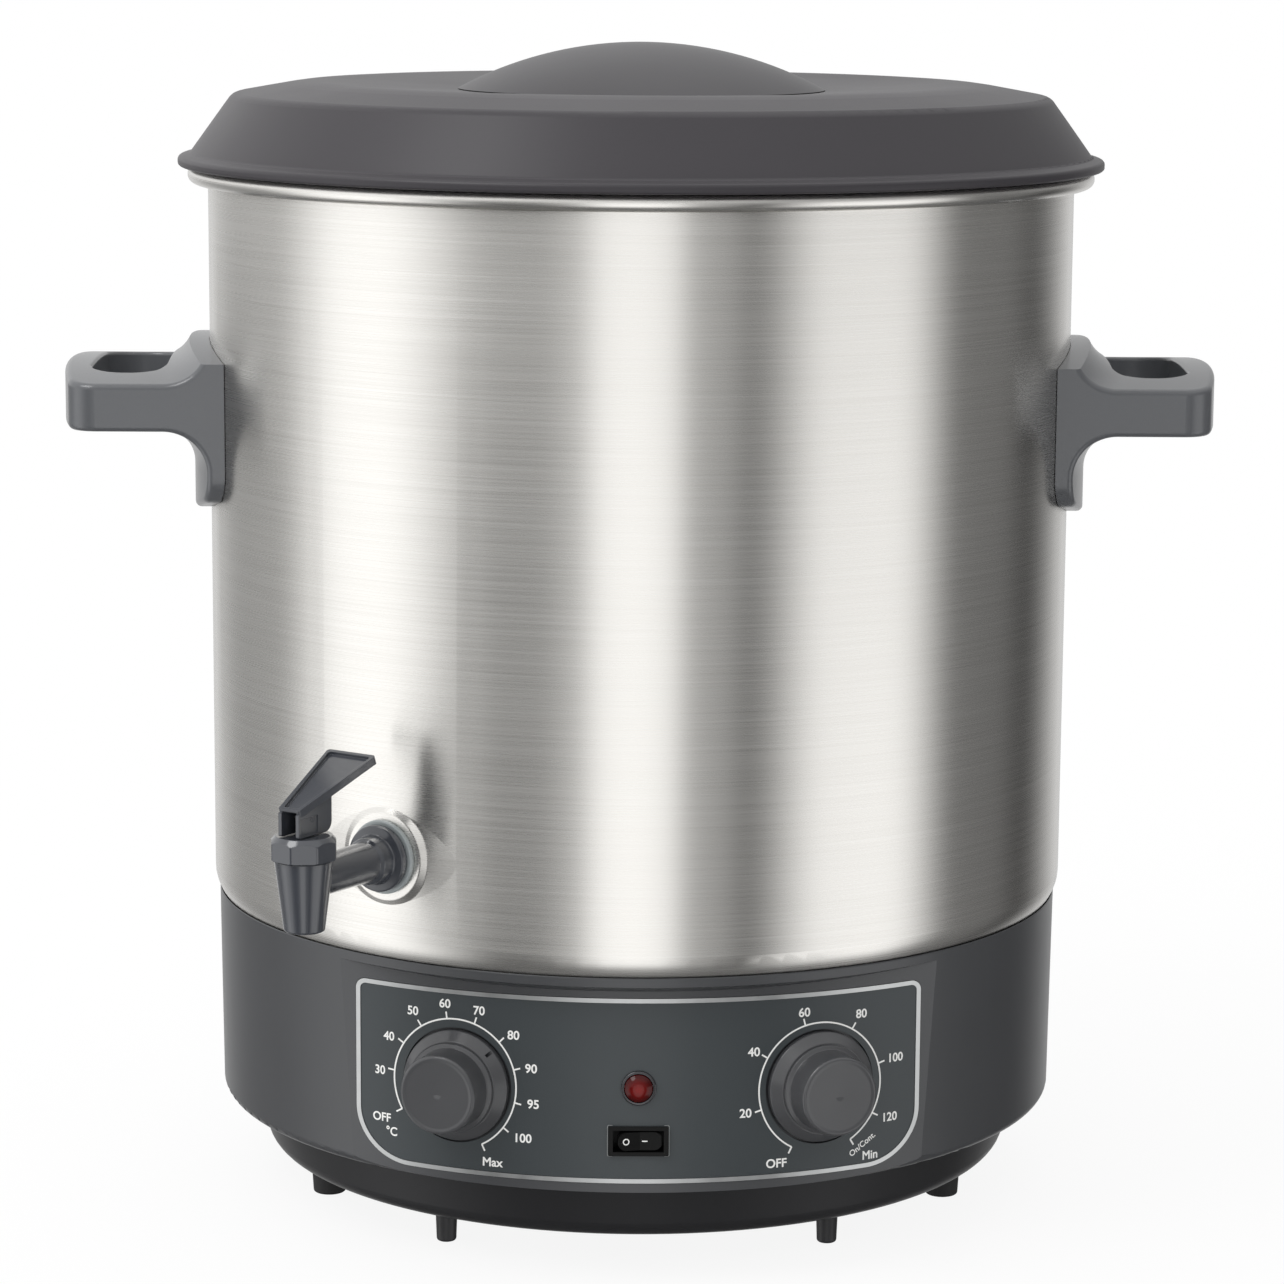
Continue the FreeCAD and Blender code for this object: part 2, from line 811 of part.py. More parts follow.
LENS_RISE = 3.0
piece(revolved("lens", [
    (0, -2.0),
    (d.lamp_radius - 0.1, -2.0),
    (d.lamp_radius - 0.1, 1.2, 0.8),
    (d.lamp_radius * 0.55, LENS_RISE, 4.0),
    (0, LENS_RISE),
]), "lamp_lens", lamp_seat)
piece(revolved("bezel", [
    (d.lamp_radius, 0.05),
    (d.bezel_radius, 0.05),
    (d.bezel_radius, 0.9, 0.5),
    (d.lamp_radius, 1.1, 0.3),
]), "lamp_bezel", lamp_seat)
lamp_case = revolved("lamp_case", [(0, -26), (4.6, -26, 1.0), (4.6, -2.3), (0, -2.3)])
piece(lamp_case, "lamp_body", lamp_seat)

# mains switch

rocker_pivot = -4.0
switch_rim = block("switch_rim", d.switch_width, d.switch_height, 0.9, moved(z=0.05))
switch_case = block("switch_case", d.switch_width - 2.0, d.switch_height - 2.0, 22, moved(z=-21.5))
switch_well = block("switch_well", d.rocker_width + 2.4, d.rocker_height + 1.4, 12, moved(z=-8.0))
piece(without("switch", joined("switch_whole", [switch_rim, switch_case]), [switch_well]),
      "switch_body", switch_seat)

half_rocker = d.rocker_width / 2
rocker_plan = extruded("rocker_plan", "XZ_Plane", [
    (-half_rocker, -2.0), (-1.5, -2.0), (-1.5, -5.4, 1.2), (1.5, -5.4, 1.2), (1.5, -2.0),
    (half_rocker, -2.0), (half_rocker, 1.3, 0.4), (0, 0.3), (-half_rocker, 1.3, 0.4)],
    d.rocker_height, both_ways=True)
rocker_face = extruded("rocker_face", "XY_Plane", [
    (-half_rocker, -d.rocker_height / 2, 3.2), (half_rocker, -d.rocker_height / 2, 3.2),
    (half_rocker, d.rocker_height / 2, 3.2), (-half_rocker, d.rocker_height / 2, 3.2)],
    20.0, both_ways=True)
rocker_tilt = moved(z=rocker_pivot) * turned(Y_AXIS, d.rocker_throw) * moved(z=-rocker_pivot)
piece(shared("rocker", rocker_plan, rocker_face), "switch_rocker", switch_seat * rocker_tilt)

# base plate and feet

base_top_z = d.housing_low_z - 0.3
base_body = new_body("base_body")
sweep_round(base_body, [
    (0, d.base_low_z),
    (d.base_low_radius, d.base_low_z, 9.0),
    (d.base_top_radius, base_top_z),
    (d.base_top_radius - d.base_wall, base_top_z),
    (d.base_low_radius - d.base_wall, d.base_low_z + d.base_wall, 6.5),
    (0, d.base_low_z + d.base_wall),
])
VENT_SLOTS = 24
VENT_INNER = 48.0
VENT_OUTER = 84.0
VENT_HALF_WIDTH = 2.5
vent_sketch = sketch_on(base_body, "XY_Plane", moved(z=15))
outline(vent_sketch, [
    (VENT_INNER, -VENT_HALF_WIDTH, 2.2), (VENT_OUTER, -VENT_HALF_WIDTH, 2.2),
    (VENT_OUTER, VENT_HALF_WIDTH, 2.2), (VENT_INNER, VENT_HALF_WIDTH, 2.2)])
round_pattern(base_body, pocket(base_body, vent_sketch), VENT_SLOTS)
base_holes = [rod(f"base_hole_{a}", d.stud_radius + 0.2, 20, stud_place(a, 6))
              for a in STUD_AZIMUTHS]
piece(without("base_cut", base_body, base_holes), "base_plate")

FOOT_AZIMUTHS = (69.1, 110.9, 249.1, 290.9)
PEG_AZIMUTHS = (34, 146, 214, 326)


def stands(name, radius, low_radius, azimuths):
    made = []
    for i, azimuth in enumerate(azimuths):
        body = revolved(f"{name}_{i}", [
            (0, 0), (low_radius, 0, 1.2), (radius, d.base_low_z), (0, d.base_low_z)])
        body.Placement = radial_frame(azimuth) * moved(d.foot_circle)
        made.append(body)
    return group(name, made)


piece(stands("feet", d.foot_radius, d.foot_radius - 0.8, FOOT_AZIMUTHS), "support_feet")
piece(stands("pegs", d.peg_radius, d.peg_radius - 0.5, PEG_AZIMUTHS), "foot_pegs")

# carrying handles: the right one is drawn, the left one is turned half round

handle_seat_radius = d.vessel_radius + 0.1


def handle(name, azimuth):
    half_width = d.handle_half_width
    tall = d.handle_high_z + 14.0
    body = extruded(name + "_body", "YZ_Plane", [
        (-half_width, tall), (-half_width, d.handle_side_low_z, d.handle_low_corner),
        (-22, d.handle_low_z, 90.0), (22, d.handle_low_z, 90.0),
        (half_width, d.handle_side_low_z, d.handle_low_corner), (half_width, tall)], 190.0)
    cut_beyond(body, d.handle_plate_radius)
    arm = sketch_on(body, "YZ_Plane", moved(z=165))
    arched(arm, d.loop_side_z, d.loop_high_z, d.loop_low_z, half_width)
    pad(body, arm, 80)
    cut_beyond(body, d.handle_reach)
    edge_round(body, d.loop_corner, lambda p, e: p.x > 200 and abs(abs(p.y) - float(half_width)) < 0.1
               and upward(e))
    seat = sketch_on(body, "XY_Plane")
    ring_of(seat, handle_seat_radius)
    pocket(body, seat)
    levels = [float(level) for level in (d.loop_low_z, d.loop_side_z, d.loop_high_z)]

    def at_plate(point):
        return abs(math.hypot(point.x, point.y) - float(d.handle_plate_radius)) < 0.5

    edge_round(body, 16.5, lambda p, e: at_plate(p) and abs(p.z - levels[0]) < 0.1)
    edge_round(body, 17.0, lambda p, e: at_plate(p) and levels[1] < p.z < levels[2] + 0.1)
    top = sketch_on(body, "YZ_Plane")
    arched(top, d.handle_side_high_z, d.handle_high_z, 400.0, half_width + 5.0)
    pocket(body, top)
    edge_round(body, 2.4, lambda p, e: p.x > 205 and not upward(e))
    finger = sketch_on(body, "XY_Plane")
    half = (d.finger_outer - d.finger_inner) / 2 - 0.4
    outline(finger, [
        (d.finger_inner, -d.finger_half_length, half), (d.finger_outer, -d.finger_half_length, half),
        (d.finger_outer, d.finger_half_length, half), (d.finger_inner, d.finger_half_length, half)])
    pocket(body, finger)
    hole_end = float(d.finger_outer)
    edge_round(body, 1.4, lambda p, e: abs(p.x - hole_end) < 0.1 and abs(p.y) < 1)
    body.Placement = turned(Z_AXIS, azimuth - 90)
    return piece(without(name, body, screw_holes(name + "_hole", 2.02)), name)


def upward(edge):
    """Whether an edge runs along Z."""
    low, high = edge.ParameterRange
    return abs(edge.tangentAt((low + high) / 2).z) > 0.9


def cut_beyond(body, radius):
    """Cut away what lies farther than a radius from the vessel's axis."""
    waste = sketch_on(body, "XY_Plane")
    ring_of(waste, radius + 120.0)
    ring_of(waste, radius)
    pocket(body, waste)


def arched(sketch, side_z, middle_z, level_z, half_width):
    """Area between an arch over the handle's width and a level line."""
    half = float(half_width)
    lift = float(middle_z) - float(side_z)
    ends = float(middle_z) - lift * (half / float(d.handle_half_width)) ** 2
    left = Vector(-half, ends, 0)
    right = Vector(half, ends, 0)
    arc = sketch.addGeometry(Part.Arc(left, Vector(0, float(middle_z), 0), right))
    level = float(level_z)
    corners = [left, Vector(-half, level, 0), Vector(half, level, 0), right]
    sketch.addConstraint(Sketcher.Constraint("Block", arc))
    for start, end in zip(corners, corners[1:]):
        line = sketch.addGeometry(Part.LineSegment(start, end))
        sketch.addConstraint(Sketcher.Constraint("Block", line))


for label, azimuth in (("left", -90), ("right", 90)):
    handle("handle_" + label, azimuth)


def handle_screw(name, place):
    """Pan-head screw driven outwards from inside the vessel."""
    form = revolved(name, [
        (0, 0), (4.2, 0, 1.4), (5.0, 2.4), (2.0, 2.4), (1.9, 22.0), (0, 23.5)])
    form.Placement = place * lying(float(vessel_inner) - 3.5)
    return form


def handle_seal(name, place):
    ring = revolved(name, [(2.2, 0), (5.4, 0), (5.4, 0.9), (2.2, 0.9)])
    ring.Placement = place * lying(float(vessel_inner) - 1.05)
    return ring


piece(group("screws_in_handles", [handle_screw(f"handle_screw_{i}", place)
                                  for i, place in enumerate(handle_screw_places)]),
      "handle_screws")
piece(group("seals_in_vessel", [handle_seal(f"handle_seal_{i}", place)
                                for i, place in enumerate(handle_screw_places)]),
      "handle_seals")

# lid and its dome grip, open at the back for the fingers

inner_slope = (d.lid_foot_radius - d.lid_shoulder_radius) / (d.lid_shoulder_z - d.lid_foot_z)
inner_line_radius = d.lid_foot_radius - 3.05


def under_cone(radius):
    """Height of the lid's inner cone at a radius."""
    return d.lid_foot_z + (inner_line_radius - radius) / inner_slope


lid_shell = revolved("lid_shell", [
    (0, d.lid_top_z),
    (72, d.lid_top_z, 200.0),
    (d.lid_ridge_radius, d.lid_ridge_z, 70.0),
    (d.lid_shoulder_radius, d.lid_shoulder_z, 5.5),
    (d.lid_foot_radius, d.lid_foot_z, 2.2),
    (d.lid_lip_radius, d.lid_lip_z, 1.8),
    (d.lid_lip_radius, d.lid_seat_z, 1.3),
    (177.5, d.lid_seat_z),
    (177.5, under_cone(177.5)),
    (173.2, under_cone(173.2)),
    (173.2, 408, 0.8),
    (171.2, 408, 0.8),
    (171.2, under_cone(171.2)),
    (162.9, under_cone(162.9), 4.0),
    (d.lid_ridge_radius - 0.3, d.lid_ridge_z - d.lid_wall, 67.0),
    (72, d.lid_top_z - d.lid_wall, 202.0),
    (0, d.lid_top_z - d.lid_wall),
])
WELL_DEPTH = 12.0
WELL_HALF_WIDTH = 42.0
WELL_FRONT = -6.0
WELL_BACK = 52.0
WELL_FLANGE = 3.0
WELL_FIT = 0.1


def well_form(name, margin, low, high):
    return extruded(name, "XY_Plane", [
        (-WELL_HALF_WIDTH - margin, WELL_FRONT - margin, 20.0),
        (WELL_HALF_WIDTH + margin, WELL_FRONT - margin, 20.0),
        (WELL_HALF_WIDTH + margin, WELL_BACK + margin, 20.0),
        (-WELL_HALF_WIDTH - margin, WELL_BACK + margin, 20.0)], high - low, moved(z=low))


well_wall = float(d.lid_wall)
well_floor = float(d.lid_top_z) - WELL_DEPTH
lid_under_z = float(d.lid_top_z) - well_wall
well_opening = well_form("well_opening", well_wall + WELL_FIT, lid_under_z - 2.0, 460.0)
GRIP_SCREWS = ((-46, -20), (0, -52), (46, -20))
grip_screw_holes = [rod(f"grip_hole_{x}", 2.1, 12, moved(x, y, 440)) for x, y in GRIP_SCREWS]
piece(without("lid_cut", lid_shell, [well_opening] + grip_screw_holes), "lid")

# finger well: a tray in the lid's opening, held by a flange under the lid's plate

well_outside = well_form("well_outside", well_wall, well_floor - well_wall, float(d.lid_top_z))
well_flange = well_form("well_flange", well_wall + WELL_FLANGE, lid_under_z - 1.62,
                        lid_under_z - 0.02)
well_inside = well_form("well_inside", 0.0, well_floor, 460.0)
piece(without("well", joined("well_whole", [well_outside, well_flange]), [well_inside]), "lid_well")

dome_rise = d.dome_top_z - d.dome_base_z
ball_radius = (d.dome_radius * d.dome_radius + dome_rise * dome_rise) / (2 * dome_rise)


def ball(name, inwards):
    thing = doc.addObject("Part::Sphere", name)
    bind(thing, "Radius", ball_radius - inwards)
    thing.Placement = moved(z=d.dome_top_z - ball_radius)
    return thing


dome_cap = shared("dome_cap", ball("dome_ball", 0), rod("dome_disc", 90, 40, moved(z=d.dome_base_z)))
dome_foot = revolved("dome_foot", [(69.6, 448.26), (71.4, 448.26), (71.4, 449.2), (69.6, 449.2)])
dome_hollow = shared("dome_hollow", ball("dome_inner_ball", d.dome_wall),
                     rod("dome_inner_disc", 69.6, 40, moved(z=440)))
DOME_BACK = 27.0
dome_back = extruded("dome_back", "XY_Plane", [
    (-90, DOME_BACK + 16), (-36, DOME_BACK, 60.0), (36, DOME_BACK, 60.0), (90, DOME_BACK + 16),
    (90, 120), (-90, 120)], 60, moved(z=430))
dome_shell = without("dome_shell", joined("dome_solid", [dome_cap, dome_foot]),
                     [dome_hollow, dome_back])


def grip_boss(i, x, y):
    top = float(d.dome_top_z - ball_radius) + math.sqrt(float(ball_radius) ** 2 - x * x - y * y)
    return rod(f"grip_boss_{i}", 4.5, top - 448.22, moved(x, y, 448.22))


grip_bosses = shared("bosses_under_dome", ball("dome_boss_ball", 0.6),
                     joined("bosses", [grip_boss(i, x, y) for i, (x, y) in enumerate(GRIP_SCREWS)]))
boss_bores = [rod(f"boss_bore_{x}", 1.6, 10.2, moved(x, y, 446)) for x, y in GRIP_SCREWS]
piece(without("dome", joined("dome_whole", [dome_shell, grip_bosses]), boss_bores), "lid_handle")


def grip_screw(i, x, y):
    form = revolved(f"grip_screw_{i}", [
        (0, -2.6), (3.6, -2.6, 1.0), (3.6, 0), (1.55, 0), (1.55, 10.4), (0, 10.4)])
    form.Placement = moved(x, y, float(d.lid_top_z - d.lid_wall) - 0.02)
    return form


piece(group("grip_screws", [grip_screw(i, x, y) for i, (x, y) in enumerate(GRIP_SCREWS)]),
      "lid_handle_screws")

# tap: X runs outwards along its pipe, heights are from the pipe's axis

BONNET_LOW = 8.6
BONNET_TOP = 17.6
SPOUT_LOW = -19.1
PIN_HEIGHT = 24.0


def upright(reach, z=0.0):
    return moved(reach, 0, z)


pipe_form = revolved("pipe_form", [
    (158, 0), (158, d.tail_radius, 0.8), (178.2, d.tail_radius),
    (178.2, d.flange_radius, 0.8), (181.4, d.flange_radius, 0.8), (182.4, 9.6, 0.6),
    (187.5, 9.0, 0.8), (188.6, d.pipe_radius, 0.6), (d.spout_reach, d.pipe_radius - 0.3),
    (d.spout_reach, 0)], "H_Axis")
spout_form = revolved("spout_form", [
    (0, SPOUT_LOW), (d.spout_low_radius, SPOUT_LOW, 1.2),
    (d.spout_top_radius, BONNET_LOW - 0.3, 0.4), (9.0, BONNET_LOW - 0.3), (9.0, 13.4), (0, 13.4)])
spout_form.Placement = upright(d.spout_reach)
tap_bores = [
    rod("pipe_bore", 4.5, d.spout_reach - 150, lying(150)),
    rod("chamber", d.cup_radius + 0.3, 25, upright(d.spout_reach, -7.4)),
    rod("outlet", 5.0, 30, upright(d.spout_reach, -25)),
]
piece(without("tap", joined("tap_whole", [pipe_form, spout_form]), tap_bores),
      "tap_body", tap_frame)

washer_outer = revolved("washer_outer", [
    (176.05, d.tail_radius + 0.1), (178.1, d.tail_radius + 0.1), (178.1, 14.3, 0.7),
    (176.05, 14.3, 0.3)], "H_Axis")
piece(washer_outer, "tap_washer_outer", tap_frame)
washer_inner = revolved("washer_inner", [
    (172.9, d.tail_radius + 0.1), (174.9, d.tail_radius + 0.1), (174.9, 13.2), (172.9, 13.2)],
    "H_Axis")
piece(washer_inner, "tap_washer_inner", tap_frame)
piece(hex_nut("tap_nut_form", 25.0, d.tail_radius + 0.02, 10.0, Placement()), "tap_nut",
      tap_frame * lying(162.8))

bonnet_turned = revolved("bonnet_turned", [
    (0, BONNET_LOW), (d.bonnet_radius + 0.85, BONNET_LOW, 0.5),
    (d.bonnet_radius + 0.85, 15.2, 1.0), (d.bonnet_radius - 1.3, BONNET_TOP, 0.6),
    (0, BONNET_TOP)])
BONNET_FLATS = 8
BONNET_TURN = 15.5
bonnet_flats = doc.addObject("Part::Prism", "bonnet_flats")
bonnet_flats.Polygon = BONNET_FLATS
bonnet_flats.Circumradius = float(d.bonnet_radius) / math.cos(math.pi / BONNET_FLATS)
bonnet_flats.Height = 40
bonnet_flats.Placement = turned(Z_AXIS, BONNET_TURN)
bonnet_bores = [rod("bonnet_bore", 9.05, 6.1, moved(z=BONNET_LOW)),
                rod("bonnet_stem_hole", d.stem_radius + 0.4, 30)]
piece(without("bonnet", shared("bonnet_blank", bonnet_turned, bonnet_flats), bonnet_bores),
      "tap_bonnet", tap_frame * upright(d.spout_reach))

stem_rod = rod("stem_rod", d.stem_radius, PIN_HEIGHT + 2.0 - 1.0, moved(z=1.0))
stem = without("stem", stem_rod, [rod("stem_pin_hole", 1.25, 12, moved(0, 6, PIN_HEIGHT)
                                      * turned(X_AXIS, 90))])
piece(stem, "tap_stem", tap_frame * upright(d.spout_reach))
cup = without("cup", revolved("cup_form", [
    (0, -7.1), (d.cup_radius - 1.6, -7.1), (d.cup_radius, -5.2, 0.8), (d.cup_radius, 5.0, 1.5),
    (0, 5.0)]), [rod("cup_bore", d.stem_radius, 10, moved(z=1.0))])
piece(cup, "tap_seat_cup", tap_frame * upright(d.spout_reach))
piece(rod("pin", 1.2, 8.6), "lever_pin",
      tap_frame * moved(d.spout_reach, 4.3, PIN_HEIGHT) * turned(X_AXIS, 90))

# tap lever: a hollow cam block under a flared paddle that rises towards the vessel

LEVER_FRONT = 9.0
LEVER_BACK = -10.8
LEVER_LOW = 17.9
LEVER_HALF_WIDTH = 4.8
PADDLE_HALF_WIDTH = 11.3
PADDLE_THICKNESS = 3.1
PADDLE_BORDER = 1.5
paddle_front_z = 28.5
slope_rate = math.tan(math.radians(float(d.lever_slope)))
block_top_front = paddle_front_z - 1.8
block_top_back = block_top_front + (LEVER_FRONT - LEVER_BACK) * slope_rate
lever_block = extruded("lever_block", "XZ_Plane", [
    (LEVER_BACK, LEVER_LOW, 4.0), (LEVER_FRONT, LEVER_LOW, 0.8),
    (LEVER_FRONT, block_top_front), (LEVER_BACK, block_top_back)],
    2 * LEVER_HALF_WIDTH, both_ways=True)


def paddle_plan(inset):
    near = LEVER_HALF_WIDTH - inset
    far = PADDLE_HALF_WIDTH - inset
    return [(-inset, -near, 0.6), (-inset, near, 0.6),
            (-d.lever_length + inset, far, 1.2), (-d.lever_length + inset, -far, 1.2)]


paddle = extruded("paddle", "XY_Plane", paddle_plan(0.0), PADDLE_THICKNESS,
                  moved(z=-PADDLE_THICKNESS))
paddle_dish = extruded("paddle_dish", "XY_Plane", paddle_plan(PADDLE_BORDER), 3.0, moved(z=-1.2))
paddle_place = moved(LEVER_FRONT, 0, paddle_front_z) * turned(Y_AXIS, d.lever_slope)
paddle.Placement = paddle_place
paddle_dish.Placement = paddle_place
lever_slot = block("lever_slot", 20, 2 * (d.stem_radius + 0.9), 12, moved(5.2, 0, 15.5))
lever_pin_hole = rod("lever_pin_hole", 1.25, 20, moved(0, 10, PIN_HEIGHT) * turned(X_AXIS, 90))
lever_cheeks = [block(f"lever_cheek_{side}", 10.4, 4.0, 6.6,
                      moved(2.6, side * (LEVER_HALF_WIDTH + 1.5), LEVER_LOW + 0.6))
                for side in (-1, 1)]
piece(without("lever", joined("lever_whole", [lever_block, paddle]),
              [paddle_dish, lever_slot, lever_pin_hole] + lever_cheeks),
      "tap_lever", tap_frame * upright(d.spout_reach))

# rack that keeps the jars off the vessel floor

RACK_THICKNESS = 1.0
rack = new_body("rack")
rack_under = d.rack_top_z - RACK_THICKNESS
rack_foot_z = d.vessel_floor_z + d.vessel_wall + 0.3
sweep_round(rack, [
    (15, rack_under), (15, d.rack_top_z), (d.rack_radius, d.rack_top_z, 3.0),
    (d.rack_radius, rack_foot_z), (d.rack_radius - RACK_THICKNESS, rack_foot_z),
    (d.rack_radius - RACK_THICKNESS, rack_under, 2.0)])
RACK_HOLE = 7.0
for ring_radius, count in ((42.0, 10), (78.0, 18), (114.0, 26)):
    hole_sketch = sketch_on(rack, "XY_Plane", moved(z=d.rack_top_z))
    ring_of(hole_sketch, RACK_HOLE, ring_radius, 0)
    hole_cut = rack.newObject("PartDesign::Pocket", "rack_hole")
    hole_cut.Profile = hole_sketch
    hole_cut.Length = 3.0
    round_pattern(rack, hole_cut, count)
piece(rack, "jar_rack")

# connections in the base

TERMINAL_X = 40.0
TERMINAL_Y = 104.0
terminal_case = block("terminal_case", 56, 20, 14, moved(TERMINAL_X, TERMINAL_Y, 16.6))
terminal_wells = [rod(f"terminal_well_{x}", 3.2, 6, moved(TERMINAL_X + x, TERMINAL_Y, 26))
                  for x in (-20, -10, 0, 10, 20)]
piece(without("terminals", terminal_case, terminal_wells), "terminal_block")

gland = revolved("gland", [
    (3.6, 160), (GLAND_RADIUS, 160, 0.5), (GLAND_RADIUS, 172.65), (11.5, 172.65, 0.5),
    (11.5, 175.4, 1.2), (7.5, 179.5, 1.2), (3.6, 179.5)])
piece(gland, "cord_gland", gland_frame * turned(Y_AXIS, 90))
piece(hex_nut("gland_nut_form", 20.0, GLAND_RADIUS + 0.02, 5.0, Placement()), "gland_nut",
      gland_frame * lying(164.4))

WIRE = 1.1
WIRE_BEND = 7.0


def behind(seat, depth, x=0.0, y=0.0):
    return seat.multVec(Vector(x, y, -depth))


switch_end = behind(switch_seat, 22.5)
wires = [
    tube("wire_switch_in", [
        switch_end + Vector(4, 0, 0), switch_end + Vector(4, 16, 0), Vector(-18, -90, 42),
        Vector(20, 66, 24), Vector(20, TERMINAL_Y - 10.1, 24)], WIRE, WIRE_BEND),
    tube("wire_switch_out", [
        switch_end + Vector(-5, 0, 0), switch_end + Vector(-5, 12, 0), Vector(-34, -116, 56),
        behind(temperature_dial, 60, 8, -6), behind(temperature_dial, 35.5, 8, -6)],
        WIRE, WIRE_BEND),
    tube("wire_timer", [
        behind(timer_dial, 25.5, 12, -12), behind(timer_dial, 46, 12, -12), Vector(30, -40, 48),
        Vector(50, 60, 24), Vector(50, TERMINAL_Y - 10.1, 24)], WIRE, WIRE_BEND),
]
piece(group("wires", wires), "wiring")

capillary_start = behind(temperature_dial, 27.4, -4, 6)
piece(tube("capillary", [
    capillary_start, capillary_start + Vector(6, 20, 0), Vector(-62, -76, 74),
    Vector(-62, -70, 94), Vector(-46, -44, 95), Vector(-38, -36, BULB_Z),
    Vector(-12.1, -36, BULB_Z)], 0.9, 4.0), "capillary_tube")

# check every object, then write one file for each sub-part

doc.recompute()
faults = []
for thing in doc.Objects:
    if "Invalid" in thing.State or "Error" in thing.State:
        faults.append(f"{thing.Name} is {thing.State}")
for thing in pieces:
    if thing.Shape.isNull() or not thing.Shape.isValid() or not thing.Shape.Solids:
        faults.append(f"{thing.Label} has no sound shape")
if len({thing.Label for thing in pieces}) != len(pieces):
    faults.append("two sub-parts share a label")
if faults:
    raise RuntimeError("; ".join(faults))

os.makedirs("parts", exist_ok=True)
for thing in pieces:
    thing.Shape.exportStep(f"parts/{thing.Label}.step")
    box = thing.Shape.BoundBox
    print(f"{thing.Label}: {len(thing.Shape.Solids)} solids, {thing.Shape.Volume / 1000:.2f} cm3, "
          f"x {box.XMin:.1f}..{box.XMax:.1f}, y {box.YMin:.1f}..{box.YMax:.1f}, "
          f"z {box.ZMin:.1f}..{box.ZMax:.1f}")
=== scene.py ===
import json
import math

import bpy
import numpy as np
from mathutils import Matrix, Vector


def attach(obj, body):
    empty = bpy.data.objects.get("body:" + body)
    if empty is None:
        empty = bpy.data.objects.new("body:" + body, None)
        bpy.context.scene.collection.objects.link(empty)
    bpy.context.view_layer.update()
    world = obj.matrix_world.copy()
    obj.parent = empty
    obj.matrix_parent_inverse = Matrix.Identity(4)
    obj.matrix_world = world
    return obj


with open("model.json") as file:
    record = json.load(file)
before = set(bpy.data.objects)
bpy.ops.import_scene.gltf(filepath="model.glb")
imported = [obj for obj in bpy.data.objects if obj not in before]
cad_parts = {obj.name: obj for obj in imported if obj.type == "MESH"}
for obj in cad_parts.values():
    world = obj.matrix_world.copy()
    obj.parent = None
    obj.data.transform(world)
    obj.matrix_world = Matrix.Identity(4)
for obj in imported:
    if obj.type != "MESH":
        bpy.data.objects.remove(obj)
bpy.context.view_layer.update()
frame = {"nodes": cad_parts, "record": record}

nodes = frame["nodes"]
print("loaded", len(nodes), "solids")


# camera, solved from the level ellipses of the rim, the housing and the feet

cameraPlace = {
    "stand": (-0.01217, -1.6901, 0.51647),   # metres from the point under the vessel's axis
    "yaw": -0.465,                           # degrees, a turn to the left is positive
    "pitch": 9.903,                          # degrees below the horizon
    "roll": 0.364,
    "lens": 116.2, "sensor": 36.0,           # millimetres
}


def placeCamera(plan):
    # forward = yaw about Z, then pitch down; right and down are turned by the roll
    yaw, pitch, roll = (math.radians(plan[name]) for name in ("yaw", "pitch", "roll"))
    forward = Vector((-math.sin(yaw) * math.cos(pitch), math.cos(yaw) * math.cos(pitch),
                      -math.sin(pitch)))
    right = Vector((math.cos(yaw), math.sin(yaw), 0))
    down = forward.cross(right)
    across = right * math.cos(roll) - down * math.sin(roll)
    under = right * math.sin(roll) + down * math.cos(roll)
    camera = bpy.data.objects.new("camera", bpy.data.cameras.new("camera"))
    bpy.context.scene.collection.objects.link(camera)
    camera.data.lens = plan["lens"]
    camera.data.sensor_width = plan["sensor"]
    turn = Matrix((across, -under, -forward)).transposed()
    camera.matrix_world = Matrix.Translation(plan["stand"]) @ turn.to_4x4()
    bpy.context.scene.camera = camera


placeCamera(cameraPlace)


# shader wiring

class Wire:
    # a value on its way through one material; arithmetic on it adds Math nodes
    def __init__(self, paint, socket):
        self.paint = paint
        self.socket = socket

    def math(self, operation, *terms):
        return self.paint.node("ShaderNodeMath", {"operation": operation}, dict(enumerate(terms)))

    def __add__(self, other):
        return self.math("ADD", self, other)

    def __radd__(self, other):
        return self.math("ADD", other, self)

    def __sub__(self, other):
        return self.math("SUBTRACT", self, other)

    def __rsub__(self, other):
        return self.math("SUBTRACT", other, self)

    def __mul__(self, other):
        return self.math("MULTIPLY", self, other)

    def __rmul__(self, other):
        return self.math("MULTIPLY", other, self)

    def __truediv__(self, other):
        return self.math("DIVIDE", self, other)

    def __rtruediv__(self, other):
        return self.math("DIVIDE", other, self)

    def __pow__(self, other):
        return self.math("POWER", self, other)

    def clamped(self):
        return self.math("MINIMUM", self.math("MAXIMUM", self, 0.0), 1.0)


